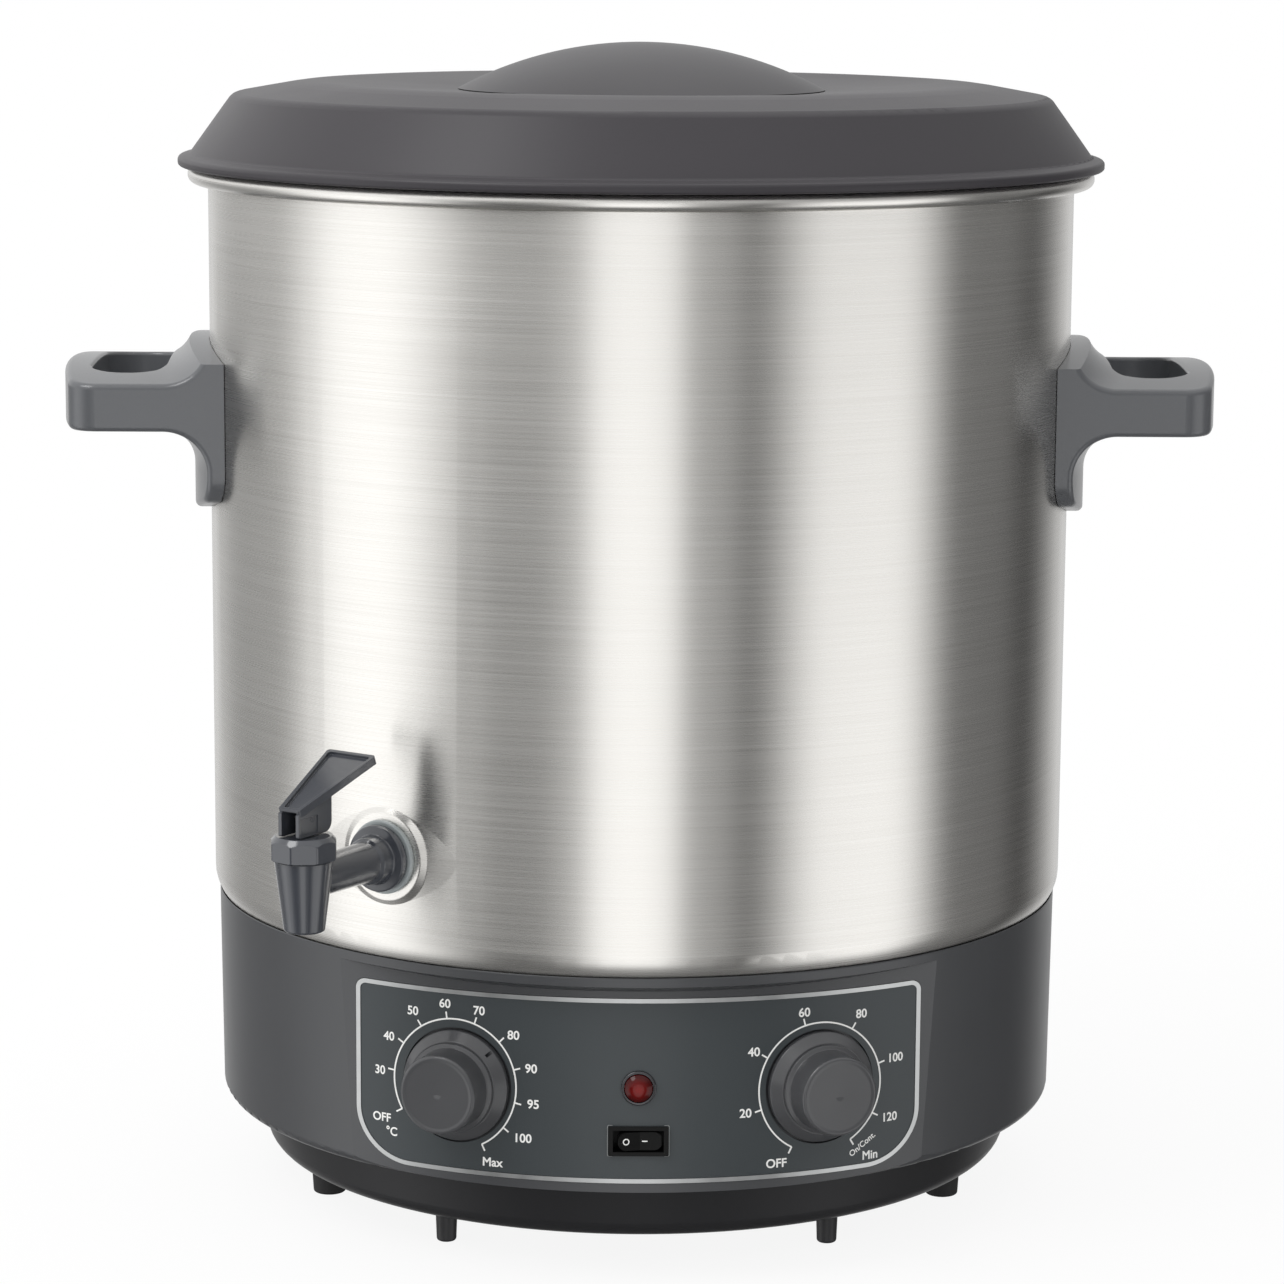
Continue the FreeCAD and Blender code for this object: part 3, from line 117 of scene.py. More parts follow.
class Paint:
    # one material or world: its nodes are added through node()
    def __init__(self, owner):
        owner.use_nodes = True
        self.owner = owner
        self.tree = owner.node_tree
        self.tree.nodes.clear()

    def node(self, kind, settings=None, values=None, output=0):
        made = self.tree.nodes.new(kind)
        for name, value in (settings or {}).items():
            if name == "stops":
                stops = made.color_ramp.elements
                stops.remove(stops[1])
                stops[0].position = value[0][0]
                for place, _ in value[1:]:
                    stops.new(place)
                for stop, (_, colour) in zip(stops, value):
                    stop.color = colour
            elif name == "easing":
                made.color_ramp.interpolation = value
            else:
                setattr(made, name, value)
        for name, value in (values or {}).items():
            socket = made.inputs[name]
            if isinstance(value, Wire):
                self.tree.links.new(value.socket, socket)
            else:
                socket.default_value = value
        return Wire(self, made.outputs[output]) if made.outputs else None

    def place(self):
        return self.node("ShaderNodeTexCoord", output="Object")

    def split(self, vector):
        parts = self.node("ShaderNodeSeparateXYZ", values={0: vector})
        return [Wire(self, socket) for socket in parts.socket.node.outputs]

    def stretched(self, vector, scale):
        return self.node("ShaderNodeMapping", values={"Vector": vector, "Scale": scale})

    def noise(self, vector, scale, detail=2.0, rough=0.5):
        return self.node("ShaderNodeTexNoise", {"noise_dimensions": "3D"},
                         {"Vector": vector, "Scale": scale, "Detail": detail, "Roughness": rough})

    def grains(self, vector, scale):
        return self.node("ShaderNodeTexVoronoi", {"feature": "F1"},
                         {"Vector": vector, "Scale": scale}, output="Distance")

    def blend(self, share, first, second):
        return self.node("ShaderNodeMix", {"data_type": "RGBA"}, {0: share, 6: first, 7: second}, 2)

    def bump(self, height, strength, depth, edge=0.0):
        # relief over the surface's own normal; edge rounds sharp edges by that radius first
        values = {"Height": height, "Strength": strength, "Distance": depth}
        if edge:
            values["Normal"] = self.node("ShaderNodeBevel", {"samples": 6}, {"Radius": edge})
        return self.node("ShaderNodeBump", values=values)

    def finish(self, values):
        shader = self.node("ShaderNodeBsdfPrincipled", values=values)
        self.node("ShaderNodeOutputMaterial", values={"Surface": shader})
        return self.owner


def newPaint(name):
    # empty material of that name
    return Paint(bpy.data.materials.new(name))


def rgba(colour, factor=1.0):
    # colour times factor, opaque
    return (colour[0] * factor, colour[1] * factor, colour[2] * factor, 1.0)


# finishes

steelLook = {
    "light": (0.81, 0.795, 0.765), "dark": (0.70, 0.685, 0.655),
    "hair": (11.0, 11.0, 3000.0),      # brush lines: a hand's width round the vessel, 0.3 mm high
    "band": (3.0, 3.0, 800.0),
    "roughness": 0.21, "roughnessSpread": 0.10, "relief": 0.00002,
}


def brushedSteel(name, look):
    # brush grain = noise drawn out round the vessel, so each line runs level and is never cut by a seam
    paint = newPaint(name)
    place = paint.place()
    hair = paint.noise(paint.stretched(place, look["hair"]), 1.0, 3.0, 0.6)
    band = paint.noise(paint.stretched(place, look["band"]), 1.0, 2.0)
    haze = paint.noise(place, 9.0, 2.0)
    grain = hair * 0.82 + band * 0.18
    tone = ((grain - 0.32) * 2.6).clamped()
    return paint.finish({
        "Base Color": paint.blend(tone, rgba(look["dark"]), rgba(look["light"])),
        "Metallic": 1.0,
        "Roughness": look["roughness"] + grain * look["roughnessSpread"] + haze * 0.03,
        "Anisotropic": 0.82, "Anisotropic Rotation": 0.25,
        "Normal": paint.bump(grain, 0.25, look["relief"]),
    })


def smoothMetal(name, colour, roughness, wear=120.0):
    # turned or plated metal: fine cloudy wear in the roughness and the tone
    paint = newPaint(name)
    place = paint.place()
    cloud = paint.noise(place, wear, 3.0)
    fine = paint.noise(place, wear * 14, 2.0)
    return paint.finish({
        "Base Color": paint.blend((cloud * 1.4 - 0.2).clamped(), rgba(colour, 0.82), rgba(colour, 1.08)),
        "Metallic": 1.0,
        "Roughness": roughness + cloud * 0.10 + fine * 0.05,
        "Normal": paint.bump(fine, 0.25, 0.00003),
    })


def mouldedPlastic(name, colour, roughness, grain=1900.0, depth=0.00004, coat=0.0, ior=1.5, edge=0.0):
    # moulded skin = leathery cells, grain to the metre and depth high, plus slow flow marks that shift
    # tone and gloss a little; edge is the radius that softens sharp edges
    paint = newPaint(name)
    place = paint.place()
    cells = paint.grains(place, grain)
    flow = paint.noise(place, 16.0, 3.0)
    speck = paint.noise(place, grain * 0.8, 2.0)
    tone = (flow * 0.7 + speck * 0.5 - 0.1).clamped()
    return paint.finish({
        "Base Color": paint.blend(tone, rgba(colour, 0.86), rgba(colour, 1.12)),
        "Roughness": roughness + (flow - 0.5) * 0.10 + speck * 0.05,
        "Coat Weight": coat, "Coat Roughness": 0.08, "IOR": ior,
        "Normal": paint.bump(cells * 0.6 + speck * 0.4, 0.35, depth, edge),
    })


def sprayedPaint(name, colour, roughness, coat=0.25, ior=1.4):
    # sprayed lacquer = shallow orange peel under a thin clear coat
    paint = newPaint(name)
    place = paint.place()
    peel = paint.noise(place, 420.0, 2.0)
    fleck = paint.noise(place, 3600.0, 2.0)
    flow = paint.noise(place, 11.0, 2.0)
    return paint.finish({
        "Base Color": paint.blend((fleck * 1.2 - 0.1).clamped(), rgba(colour, 0.85), rgba(colour, 1.12)),
        "Roughness": roughness + (flow - 0.5) * 0.08 + (fleck - 0.5) * 0.06,
        "Coat Weight": coat, "Coat Roughness": 0.18, "IOR": ior,
        "Normal": paint.bump(peel * 0.7 + fleck * 0.3, 0.3, 0.00006),
    })


def softRubber(name, colour):
    # matt rubber: pale dust lies over a fine grain and roughens it
    paint = newPaint(name)
    place = paint.place()
    dust = paint.noise(place, 700.0, 4.0, 0.7)
    return paint.finish({
        "Base Color": paint.blend((dust * 1.6 - 0.4).clamped(), rgba(colour, 0.8), rgba(colour, 1.5)),
        "Roughness": 0.62 + dust * 0.2,
        "Normal": paint.bump(dust, 0.3, 0.00008),
    })


def printedInk(name, colour):
    # screen-printed ink: a faint mesh in its gloss and small gaps of tone
    paint = newPaint(name)
    place = paint.place()
    mesh = paint.noise(place, 5200.0, 2.0)
    return paint.finish({
        "Base Color": paint.blend((mesh * 1.3 - 0.1).clamped(), rgba(colour, 0.9), rgba(colour, 1.03)),
        "Roughness": 0.45 + mesh * 0.15,
        "Normal": paint.bump(mesh, 0.2, 0.00001),
    })


lensLook = {"radius": 0.0056, "height": 0.0783}   # the lens's radius and the height of its middle


def lampRed(name, look):
    # lens: deep red, lighter at the middle and darker towards the edge, with a faint painted glow at the
    # middle, under a gloss coat
    paint = newPaint(name)
    x, y, z = paint.split(paint.place())
    dx = x / look["radius"]
    dz = (z - look["height"]) / look["radius"]
    reach = (dx * dx + dz * dz) ** 0.5
    # middle mask: it lightens the red at the middle and carries the painted glow there
    middleToneAndGlow = (1.15 - reach * 1.35).clamped()
    ripple = paint.noise(paint.place(), 900.0, 2.0)
    red = paint.blend(middleToneAndGlow, (0.045, 0.002, 0.002, 1), (0.15, 0.005, 0.004, 1))
    return paint.finish({
        "Base Color": red, "Roughness": 0.10 + ripple * 0.06,
        "Coat Weight": 0.3, "Coat Roughness": 0.03, "Coat IOR": 1.3, "IOR": 1.25,
        # painted glow: a faint red light given off by the lens, strongest at its middle
        "Emission Color": paint.blend(middleToneAndGlow, (0.01, 0, 0, 1), (0.10, 0.002, 0.002, 1)),
        "Emission Strength": 0.2,
        "Normal": paint.bump(ripple, 0.2, 0.00005),
    })


def heatTinted(name):
    # element sheath: straw, brown and blue bands by height of the heat noise
    paint = newPaint(name)
    place = paint.place()
    heat = paint.noise(place, 34.0, 3.0)
    colour = paint.node("ShaderNodeValToRGB", {"stops": [
        (0.25, (0.32, 0.30, 0.27, 1)), (0.45, (0.30, 0.22, 0.13, 1)),
        (0.60, (0.16, 0.12, 0.14, 1)), (0.75, (0.12, 0.14, 0.20, 1))]}, {"Fac": heat})
    return paint.finish({
        "Base Color": colour, "Metallic": 1.0, "Roughness": 0.38 + heat * 0.2,
        "Normal": paint.bump(paint.noise(place, 1500.0, 2.0), 0.3, 0.00004),
    })


def clearSilicone(name):
    # milky washer: pale with cloudy depth and a soft gloss
    paint = newPaint(name)
    place = paint.place()
    cloud = paint.noise(place, 260.0, 3.0)
    return paint.finish({
        "Base Color": paint.blend(cloud, (0.24, 0.27, 0.28, 1), (0.36, 0.39, 0.39, 1)),
        "Roughness": 0.25 + cloud * 0.12, "Coat Weight": 0.4,
        "Normal": paint.bump(cloud, 0.2, 0.00006),
    })


finishes = {
    "brushed_steel": brushedSteel("vesselSteel", steelLook),
    "rack_steel": brushedSteel("rackSteel", {**steelLook, "roughness": 0.3}),
    "zinc_steel": smoothMetal("zincSteel", (0.62, 0.63, 0.65), 0.28),
    "element_steel": heatTinted("elementSteel"),
    "heater_aluminium": smoothMetal("castAluminium", (0.76, 0.77, 0.78), 0.42, wear=60.0),
    "copper": smoothMetal("drawnCopper", (0.72, 0.40, 0.26), 0.3),
    "bright_line": smoothMetal("satinLine", (0.52, 0.53, 0.53), 0.26),
    "lamp_ring": smoothMetal("lampRing", (0.09, 0.09, 0.095), 0.20),
    "housing_paint": mouldedPlastic("housingGrey", (0.047, 0.049, 0.053), 0.34, grain=2300.0,
                                    depth=0.00002, coat=0.15),
    "base_paint": sprayedPaint("baseBlack", (0.019, 0.019, 0.021), 0.42, coat=0.1, ior=1.35),
    "panel_paint": sprayedPaint("panelGrey", (0.040, 0.048, 0.052), 0.42, coat=0.15),
    "knob_plastic": mouldedPlastic("knobGrey", (0.055, 0.056, 0.060), 0.30, grain=2600.0,
                                   depth=0.00002, coat=0.3),
    "tap_grey": mouldedPlastic("tapGrey", (0.044, 0.048, 0.058), 0.16, grain=2600.0, depth=0.00001,
                               coat=0.6, edge=0.00045),
    "switch_black": mouldedPlastic("switchBlack", (0.006, 0.006, 0.006), 0.32, grain=2600.0,
                                   depth=0.00002, ior=1.22),
    "black_plastic": mouldedPlastic("pegBlack", (0.026, 0.026, 0.028), 0.45),
    "grey_plastic": mouldedPlastic("handleGrey", (0.090, 0.094, 0.102), 0.28, grain=2300.0,
                                   depth=0.00002, coat=0.35, edge=0.0006),
    "lid_plastic": mouldedPlastic("lidCharcoal", (0.040, 0.037, 0.042), 0.38, grain=1500.0,
                                  depth=0.00003, ior=1.36),
    "lid_grip_plastic": mouldedPlastic("gripCharcoal", (0.043, 0.041, 0.045), 0.34, grain=1500.0,
                                       depth=0.00003, ior=1.38),
    "pale_plastic": mouldedPlastic("ceramicPale", (0.70, 0.68, 0.62), 0.5, grain=1500.0),
    "black_rubber": softRubber("footRubber", (0.022, 0.022, 0.023)),
    "wire_cover": mouldedPlastic("wireBlue", (0.05, 0.14, 0.38), 0.4),
    "clear_washer": clearSilicone("milkyWasher"),
    "red_lens": lampRed("lampRed", lensLook),
}
slotOf = {row["node"]: row["material_slot"] for row in frame["record"]["subparts"]}
for name, thing in nodes.items():
    thing.data.materials.clear()
    thing.data.materials.append(finishes[slotOf[name]])
    thing.data.polygons.foreach_set("material_index", np.zeros(len(thing.data.polygons), np.int32))
inkWhite = printedInk("inkWhite", (0.86, 0.86, 0.84))
lineGrey = printedInk("lineGrey", (0.26, 0.27, 0.27))
print("finishes on", len(nodes), "solids")


# the curved front that carries the print

front = {
    "radius": 0.172, "halfAngle": 39.1,           # the flat starts this far round the housing
    "lowInset": 0.0035, "lowHeight": 0.042,
    "highInset": 0.0069, "highHeight": 0.111,
    "ruledFrom": 0.028, "ruledTo": 0.132,
}


def frontArc(z):
    # level arc through two fixed edges, drawn in by the inset at that height: its radius and centre
    rate = (front["highInset"] - front["lowInset"]) / (front["highHeight"] - front["lowHeight"])
    reach = front["radius"] - front["lowInset"] - (z - front["lowHeight"]) * rate
    halfWidth = front["radius"] * math.sin(math.radians(front["halfAngle"]))
    sag = reach - front["radius"] * math.cos(math.radians(front["halfAngle"]))
    radius = (halfWidth ** 2 + sag ** 2) / (2 * sag)
    return np.array([radius, radius - reach])


def frontDepth(x, z):
    # y of the front, a ruled surface: radius and centre run evenly from its lowest arc to its highest
    share = (z - front["ruledFrom"]) / (front["ruledTo"] - front["ruledFrom"])
    low, high = frontArc(front["ruledFrom"]), frontArc(front["ruledTo"])
    radius = low[0] + (high[0] - low[0]) * share
    return low[1] + (high[1] - low[1]) * share - np.sqrt(radius ** 2 - x ** 2)


def frontAxes(x, z):
    # point on the front with its level direction, its upward direction and its outward normal
    step = 0.0005
    point = np.array([x, frontDepth(x, z), z])
    across = np.array([2 * step, frontDepth(x + step, z) - frontDepth(x - step, z), 0.0])
    up = np.array([0.0, frontDepth(x, z + step) - frontDepth(x, z - step), 2 * step])
    out = np.cross(across, up)
    out /= np.linalg.norm(out)
    across /= np.linalg.norm(across)
    return point, across, np.cross(out, across), out


def onFront(flat, seat, lift):
    # flat pattern (u, v, w) laid on the front at a seat: u runs level, v up, w stands off by lift
    point, across, up, out = seat
    spots = point + flat[:, :1] * across + flat[:, 1:2] * up
    spots[:, 1] = frontDepth(spots[:, 0], spots[:, 2])
    return spots + (flat[:, 2:3] + lift) * out


def newPiece(name, points, faces, body, finish, smooth=True):
    # one mesh of points and faces that rides on a body and wears a finish
    mesh = bpy.data.meshes.new(name)
    mesh.from_pydata(np.asarray(points).tolist(), [], faces)
    mesh.validate()
    mesh.polygons.foreach_set("use_smooth", np.full(len(mesh.polygons), smooth))
    mesh.materials.append(finish)
    thing = bpy.data.objects.new(name, mesh)
    bpy.context.scene.collection.objects.link(thing)
    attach(thing, body)
    return thing


def strip(centres, sides, halfWidth, halfHeight):
    # closed bar of rectangular section: centre(t) plus and minus side(t) * halfWidth, and halfHeight
    # above and below the ground
    count = len(centres)
    signs = np.array([(-1, -1), (1, -1), (1, 1), (-1, 1)], float)
    points = np.zeros((count, 4, 3))
    points[:, :, :2] = centres[:, None, :] + sides[:, None, :] * signs[None, :, :1] * halfWidth
    points[:, :, 2] = signs[None, :, 1] * halfHeight
    index = np.arange(count * 4).reshape(count, 4)
    around = np.roll(index, -1, axis=1)
    walls = np.stack([index[:-1], around[:-1], around[1:], index[1:]], -1).reshape(-1, 4)
    caps = np.array([index[0][::-1], index[-1]])
    return points.reshape(-1, 3), np.concatenate([walls, caps])


capitalShare = 1.37   # size of the built-in typeface over the height of its capitals


def glyphs(text, height, weight, halfHeight, turn=0.0):
    # lettering as closed solids, turned about its own middle: height is that of a capital, and weight
    # widens each stroke by as much on both sides
    curve = bpy.data.curves.new("lettering", "FONT")
    curve.body = text
    curve.size = height * capitalShare
    curve.bevel_depth = weight
    curve.bevel_resolution = 0
    curve.extrude = halfHeight
    curve.resolution_u = 6
    curve.align_x = "CENTER"
    carrier = bpy.data.objects.new("lettering", curve)
    bpy.context.scene.collection.objects.link(carrier)
    mesh = bpy.data.meshes.new_from_object(carrier)
    points = np.zeros(len(mesh.vertices) * 3)
    mesh.vertices.foreach_get("co", points)
    points = points.reshape(-1, 3)
    faces = [list(face.vertices) for face in mesh.polygons]
    bpy.data.objects.remove(carrier)
    bpy.data.curves.remove(curve)
    bpy.data.meshes.remove(mesh)
    points[:, :2] -= (points[:, :2].min(0) + points[:, :2].max(0)) / 2
    points[:, 2] *= halfHeight / points[:, 2].max()
    c, s = math.cos(math.radians(turn)), math.sin(math.radians(turn))
    points[:, :2] = points[:, :2] @ np.array([[c, s], [-s, c]])
    return points, faces


def gather(parts):
    # several point and face lists as one
    points = []
    faces = []
    for some, corners in parts:
        start = sum(len(p) for p in points)
        points.append(some)
        faces.extend([[i + start for i in face] for face in corners])
    return np.concatenate(points), faces


printLook = {
    "lift": 0.00003, "halfHeight": 0.00005,
    "arcRadius": 0.0254, "arcSteps": 121, "lineWidth": 0.00062, "tickLength": 0.0028,
    "tickSink": 0.96,                  # ticks are a little thinner than the arc that they start in
    "letterHeight": 0.0035, "letterWeight": 0.00010,
    "slantedHeight": 0.00245, "slantedWeight": 0.00005,
}
# a dial's angles are degrees clockwise from the top; a label is its text, x, z and slant in degrees
temperatureDial = {
    "place": (-0.0704, 0.0760), "ends": (-120, 153),
    "ticks": (-120, -85, -58, -34, -8, 18, 45.5, 73, 102, 127, 153),
    "labels": (("OFF", -0.0991, 0.0588, 0), ("°C", -0.0952, 0.0537, 0), ("30", -0.0997, 0.0775, 0),
               ("40", -0.0962, 0.0914, 0), ("50", -0.0867, 0.1028, 0), ("60", -0.0742, 0.1071, 0),
               ("70", -0.0610, 0.1055, 0), ("80", -0.0478, 0.0970, 0), ("90", -0.0410, 0.0844, 0),
               ("95", -0.0402, 0.0706, 0), ("100", -0.0438, 0.0571, 0), ("Max", -0.0556, 0.0467, 0)),
}
timerDial = {
    "place": (0.0697, 0.0753), "ends": (-152, 150),
    "ticks": (-152, -106, -59, -14, 32, 75, 120, 150),
    "labels": (("OFF", 0.0530, 0.0470, 0), ("20", 0.0409, 0.0674, 0), ("40", 0.0439, 0.0911, 0),
               ("60", 0.0633, 0.1052, 0), ("80", 0.0856, 0.1025, 0), ("100", 0.0997, 0.0833, 0),
               ("120", 0.0977, 0.0599, 0), ("On/Cont.", 0.0866, 0.0506, 33), ("Min", 0.0898, 0.0460, 0)),
}


def dialPrint(name, dial, look):
    # arc and ticks are bars round the knob, labels stand at their own places; an angle runs clockwise
    # from the top
    seat = frontAxes(*dial["place"])
    parts = []
    low, high = (math.radians(a) for a in dial["ends"])
    turn = np.linspace(low, high, look["arcSteps"])
    radial = np.stack([np.sin(turn), np.cos(turn)], 1)
    arc, faces = strip(radial * look["arcRadius"], radial, look["lineWidth"] / 2, look["halfHeight"])
    parts.append((onFront(arc, seat, look["lift"]), faces[:, ::-1].tolist()))
    for angle in dial["ticks"]:
        a = math.radians(angle)
        out = np.array([math.sin(a), math.cos(a)])
        along = look["arcRadius"] + np.array([0.0, 0.5, 1.0])[:, None] * look["tickLength"]
        side = np.tile([out[1], -out[0]], (3, 1))
        bar, faces = strip(out * along, side, look["lineWidth"] / 2,
                           look["halfHeight"] * look["tickSink"])
        parts.append((onFront(bar, seat, look["lift"]), faces.tolist()))
    for text, x, z, slant in dial["labels"]:
        height = look["slantedHeight"] if slant else look["letterHeight"]
        weight = look["slantedWeight"] if slant else look["letterWeight"]
        letters, faces = glyphs(text, height, weight, look["halfHeight"], slant)
        parts.append((onFront(letters, frontAxes(x, z), look["lift"]), faces))
    points, faces = gather(parts)
    return newPiece(name, points, faces, "cooker", inkWhite, False)


dialPrint("temperature_print", temperatureDial, printLook)
dialPrint("timer_print", timerDial, printLook)
print("dial print laid on the front")


# switch marks

rockerMarks = {
    "place": (0.0, 0.0577), "pivotDepth": 0.004, "tilt": 8.0, "ringAt": -0.0054, "dashAt": 0.0018,
    "ringRadius": 0.00108, "ringSteps": 33, "lineWidth": 0.00042, "dash": 0.0021,
    "halfHeight": 0.00004, "lift": 0.00005,
    # the rocker's own slopes: its height at the middle, the rise to each end and that end's distance
    "middle": 0.0003, "rise": 0.001, "reach": 0.0085,
}


def rockerPrint(plan):
    # ring and dash on the two slopes of the rocker; the slope rises from its middle to its ends
    point, across, up, out = frontAxes(*plan["place"])
    tilt = math.radians(plan["tilt"])
    turn = np.linspace(0, 2 * math.pi, plan["ringSteps"])
    radial = np.stack([np.cos(turn), np.sin(turn)], 1)
    ring, ringFaces = strip(radial * plan["ringRadius"] + [plan["ringAt"], 0], radial,
                            plan["lineWidth"] / 2, plan["halfHeight"])
    line = np.array([[-0.5, 0], [0.5, 0]]) * plan["dash"] + [plan["dashAt"], 0]
    dash, dashFaces = strip(line, np.array([[0, 1.0], [0, 1.0]]), plan["lineWidth"] / 2,
                            plan["halfHeight"])
    points, faces = gather([(ring, ringFaces.tolist()), (dash, dashFaces[:, ::-1].tolist())])
    slope = plan["rise"] / plan["reach"]
    height = plan["middle"] + np.abs(points[:, 0]) * slope + points[:, 2] + plan["lift"]
    drop = plan["pivotDepth"]
    u = points[:, 0] * math.cos(tilt) + (height + drop) * math.sin(tilt)
    w = -points[:, 0] * math.sin(tilt) + (height + drop) * math.cos(tilt) - drop
    spots = point + u[:, None] * across + points[:, 1:2] * up + w[:, None] * out
    return newPiece("rocker_print", spots, faces, "mains_rocker", inkWhite, False)


rockerPrint(rockerMarks)
print("rocker marked")

switchLine = {
    "place": (0.0, 0.0577), "halfWidth": 0.0118, "halfHeight": 0.0060, "corner": 0.0006,
    "lineWidth": 0.00026, "halfThickness": 0.00004, "lift": 0.00003, "steps": 24,
}


def switchEdge(plan):
    # closed line round the switch: a circle of steps points, each quarter moved out to its own corner
    turn = (np.arange(plan["steps"]) + 0.5) * 2 * math.pi / plan["steps"]
    radial = np.stack([np.cos(turn), np.sin(turn)], 1)
    middle = np.sign(radial) * [plan["halfWidth"] - plan["corner"], plan["halfHeight"] - plan["corner"]]
    line = middle + radial * plan["corner"]
    closed = np.concatenate([line, line[:1]])
    sides = np.concatenate([radial, radial[:1]])
    flat, faces = strip(closed, sides, plan["lineWidth"] / 2, plan["halfThickness"])
    points = onFront(flat, frontAxes(*plan["place"]), plan["lift"])
    return newPiece("switch_line", points, faces[:, ::-1].tolist(), "cooker", lineGrey,
                    False)


switchEdge(switchLine)
print("switch outlined")


# rolled rim

rolledRim = {
    "inner": 0.174, "outer": 0.183, "low": 0.4113, "high": 0.4177,   # the bead's four sides
    "round": 0.003, "proud": 0.00006, "depth": 0.0004,
    "stepsAround": 960, "stepsCorner": 12,
}


def rimDress(plan):
    # skin of the bead: three rounded corners swept round the axis, out by proud and back by depth
    corners = [(plan["outer"] - plan["round"], plan["low"] + plan["round"], -90, 0),
               (plan["outer"] - plan["round"], plan["high"] - plan["round"], 0, 90),
               (plan["inner"] + plan["round"], plan["high"] - plan["round"], 90, 180)]
    rows = []
    for r, z, start, end in corners:
        turn = np.radians(np.linspace(start, end, plan["stepsCorner"]))
        middle = np.tile([r, z], (len(turn), 1))
        rows.append(np.column_stack([middle, np.cos(turn), np.sin(turn)]))
    rows = np.concatenate(rows)
    skin = rows[:, :2] + rows[:, 2:] * (plan["round"] + plan["proud"])
    lining = rows[:, :2] + rows[:, 2:] * (plan["round"] - plan["depth"])
    outline = np.concatenate([skin, lining[::-1]])
    around = np.arange(plan["stepsAround"]) * 2 * math.pi / plan["stepsAround"]
    points = np.stack([outline[None, :, 0] * np.cos(around)[:, None],
                       outline[None, :, 0] * np.sin(around)[:, None],
                       np.repeat(outline[None, :, 1], plan["stepsAround"], 0)], -1).reshape(-1, 3)
    index = np.arange(len(points)).reshape(plan["stepsAround"], -1)
    ahead = np.roll(index, -1, axis=0)
    faces = np.stack([index, ahead, np.roll(ahead, -1, axis=1), np.roll(index, -1, axis=1)], -1)
    return newPiece("rim_skin", points, faces.reshape(-1, 4).tolist(), "cooker",
                    finishes["brushed_steel"])


rimDress(rolledRim)
print("rim dressed")


# floor, light and background

studio = {
    "floorSize": 14.0, "floorTone": 0.82, "floorGlow": 0.90, "glowStart": 0.30, "glowEnd": 1.1,
    # light round the room: degrees from straight behind, turning by the left, and the level there
    "round": (
        (0, 0.80), (12, 0.75), (50, 0.29), (67, 0.29),      # wall behind and its dim left end
        (98, 1.43), (107, 1.45),                            # left window
        (143, 0.10), (153, 0.14), (162, 0.45),              # dark corner beside the camera
        (171, 1.47), (179, 1.54), (187, 1.44),              # panel behind the camera
        (194, 0.43), (202, 0.37), (208, 0.07),              # dark corner on the other side
        (231, 1.36), (251, 1.43),                           # right window
        (273, 0.18), (289, 0.16), (305, 0.05),              # dark wall on the right
        (340, 0.70), (360, 0.80)),
    "underneath": 0.15, "upper": 0.74, "upperLeft": 0.50, "overhead": 1.15,
    "full": 2.0,                               # level of a white in the nodes
    # upward share of a ray at which each zone starts, and how quickly it takes over
    "roundFrom": -0.76, "roundEase": 6.0,
    "upperFrom": -0.06, "upperEase": 8.0,
    "overheadFrom": 0.35, "overheadEase": 2.2,
}


def lightRoom(plan):
    # radiance by height: dark underneath, round(azimuth) below the horizon, above it the slope
    # upper - upperLeft * x, and the overhead level towards the zenith
    world = bpy.data.worlds.new("studio")
    bpy.context.scene.world = world
    paint = Paint(world)
    way = paint.node("ShaderNodeTexCoord", output="Generated")
    x, y, z = paint.split(way)
    azimuth = x.math("ARCTAN2", x * -1.0, y)          # 0 behind the object, turning by the left
    share = (azimuth / (2 * math.pi)) + 1.0
    share = share.math("FRACT", share)
    white, full = (1, 1, 1), plan["full"]
    level = paint.node("ShaderNodeValToRGB", {"easing": "EASE", "stops": [
        (turn / 360, rgba(white, v / full)) for turn, v in plan["round"]]}, {"Fac": share})
    slope = (plan["upper"] - x * plan["upperLeft"]) / full
    overRound = ((z - plan["roundFrom"]) * plan["roundEase"]).clamped()
    overUpper = ((z - plan["upperFrom"]) * plan["upperEase"]).clamped()
    overTop = ((z - plan["overheadFrom"]) * plan["overheadEase"]).clamped()
    tone = paint.blend(overRound, rgba(white, plan["underneath"] / full), level)
    tone = paint.blend(overUpper, tone, slope)
    tone = paint.blend(overTop, tone, rgba(white, plan["overhead"] / full))
    lit = paint.node("ShaderNodeBackground", values={"Color": tone, "Strength": full})
    seen = paint.node("ShaderNodeBackground", values={"Color": (1, 1, 1, 1), "Strength": 1.0})
    camera = paint.node("ShaderNodeLightPath", output="Is Camera Ray")
    both = paint.node("ShaderNodeMixShader", values={0: camera, 1: lit, 2: seen})
    paint.node("ShaderNodeOutputWorld", values={"Surface": both})


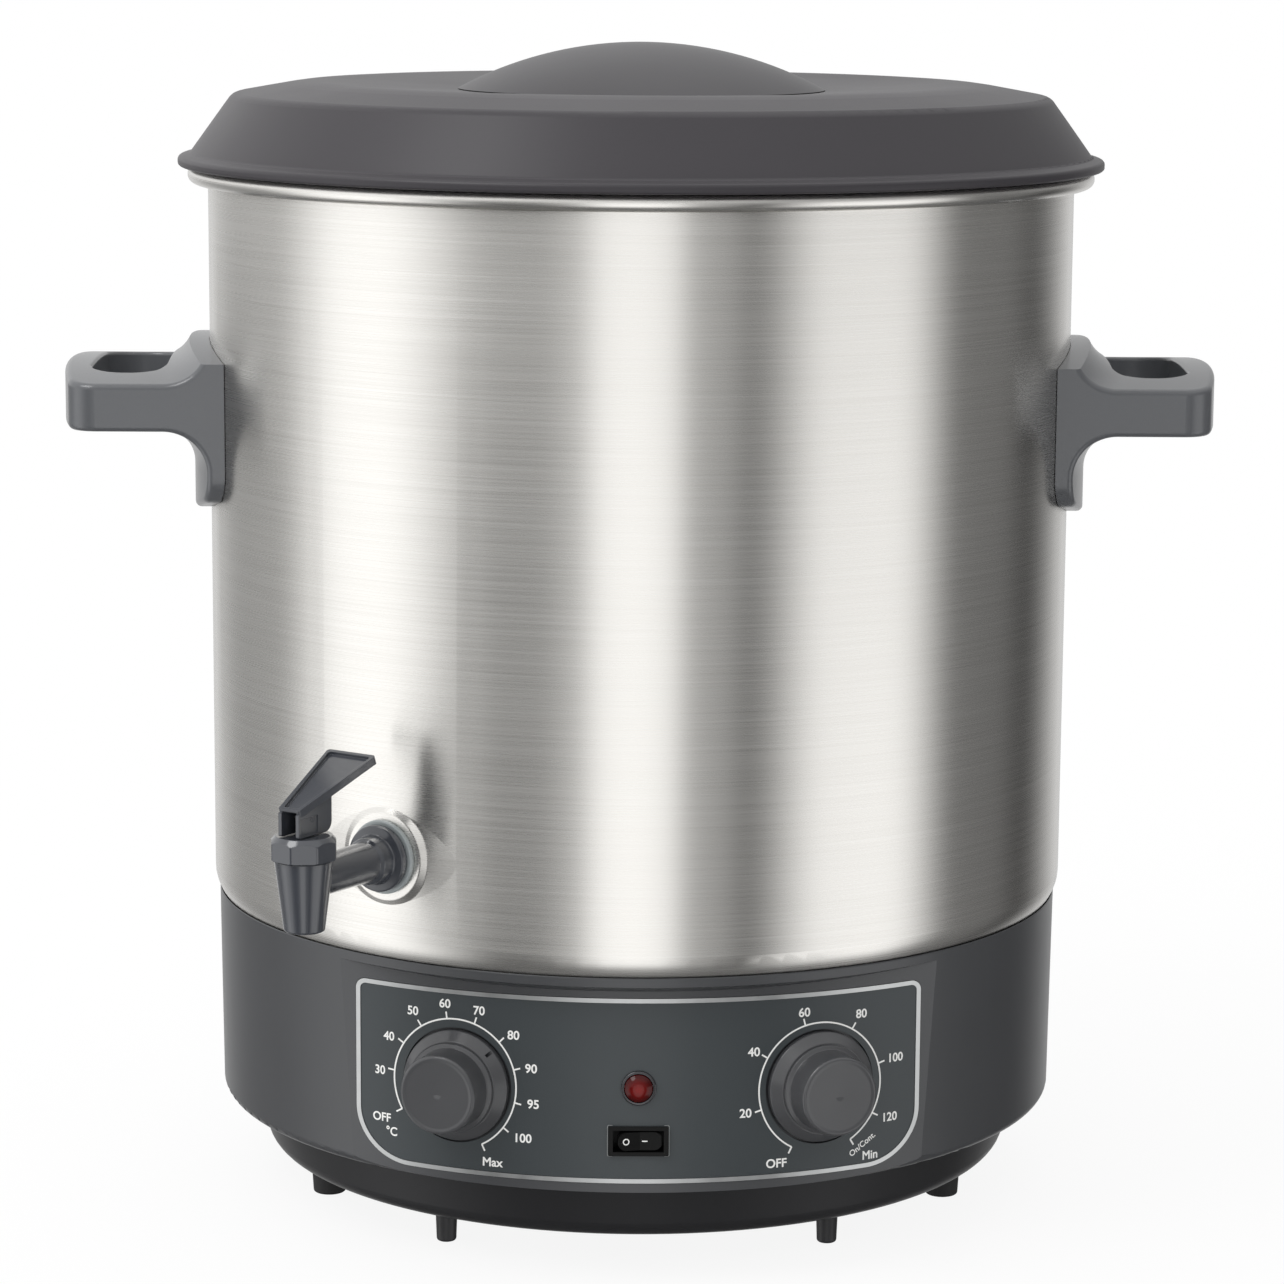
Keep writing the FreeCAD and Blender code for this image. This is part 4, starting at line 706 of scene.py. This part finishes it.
def floorPaint(plan):
    # pale floor that keeps shadows: part glow for the camera, all glow from glowEnd outwards, the rest
    # matt; left out of reflections
    paint = newPaint("floorPale")
    grain = paint.noise(paint.place(), 40.0, 3.0)
    tone = paint.blend(grain, rgba((plan["floorTone"],) * 3), rgba((plan["floorTone"],) * 3, 1.03))
    matt = paint.node("ShaderNodeBsdfDiffuse", values={"Color": tone})
    glow = paint.node("ShaderNodeEmission", values={"Color": (1, 1, 1, 1), "Strength": 1.0})
    clear = paint.node("ShaderNodeBsdfTransparent", values={"Color": (1, 1, 1, 1)})
    camera = paint.node("ShaderNodeLightPath", output="Is Camera Ray")
    glossy = paint.node("ShaderNodeLightPath", output="Is Glossy Ray")
    x, y, z = paint.split(paint.place())
    reach = (x * x + y * y) ** 0.5
    far = ((reach - plan["glowStart"]) / (plan["glowEnd"] - plan["glowStart"])).clamped()
    share = camera * (plan["floorGlow"] + far * (1.0 - plan["floorGlow"]))
    seen = paint.node("ShaderNodeMixShader", values={0: share, 1: matt, 2: glow})
    both = paint.node("ShaderNodeMixShader", values={0: glossy, 1: seen, 2: clear})
    paint.node("ShaderNodeOutputMaterial", values={"Surface": both})
    return paint.owner


def layFloor(plan):
    # square floor at the height of the feet's soles, centred under the vessel
    half = plan["floorSize"] / 2
    mesh = bpy.data.meshes.new("floor")
    mesh.from_pydata([(-half, -half, 0), (half, -half, 0), (half, half, 0), (-half, half, 0)], [],
                     [(0, 1, 2, 3)])
    mesh.materials.append(floorPaint(plan))
    floor = bpy.data.objects.new("floor", mesh)
    bpy.context.scene.collection.objects.link(floor)


lamps = {
    "keyLamp": {"place": (-1.3, -0.9, 2.1), "aim": (0, 0, 0.2), "size": 1.2, "power": 19.0},
    "topLamp": {"place": (0.2, 0.5, 2.4), "aim": (0, 0, 0.3), "size": 1.6, "power": 3.0},
}


def softLamp(name, place, aim, size, power):
    # round area light at its place, turned to its aim
    lamp = bpy.data.lights.new(name, "AREA")
    lamp.shape = "DISK"
    lamp.size = size
    lamp.energy = power
    thing = bpy.data.objects.new(name, lamp)
    bpy.context.scene.collection.objects.link(thing)
    thing.location = place
    thing.rotation_euler = (Vector(aim) - Vector(place)).to_track_quat("-Z", "Y").to_euler()


lightRoom(studio)
layFloor(studio)
for name, lamp in lamps.items():
    softLamp(name, **lamp)
bpy.context.scene.view_settings.view_transform = "Standard"
print("studio lit")
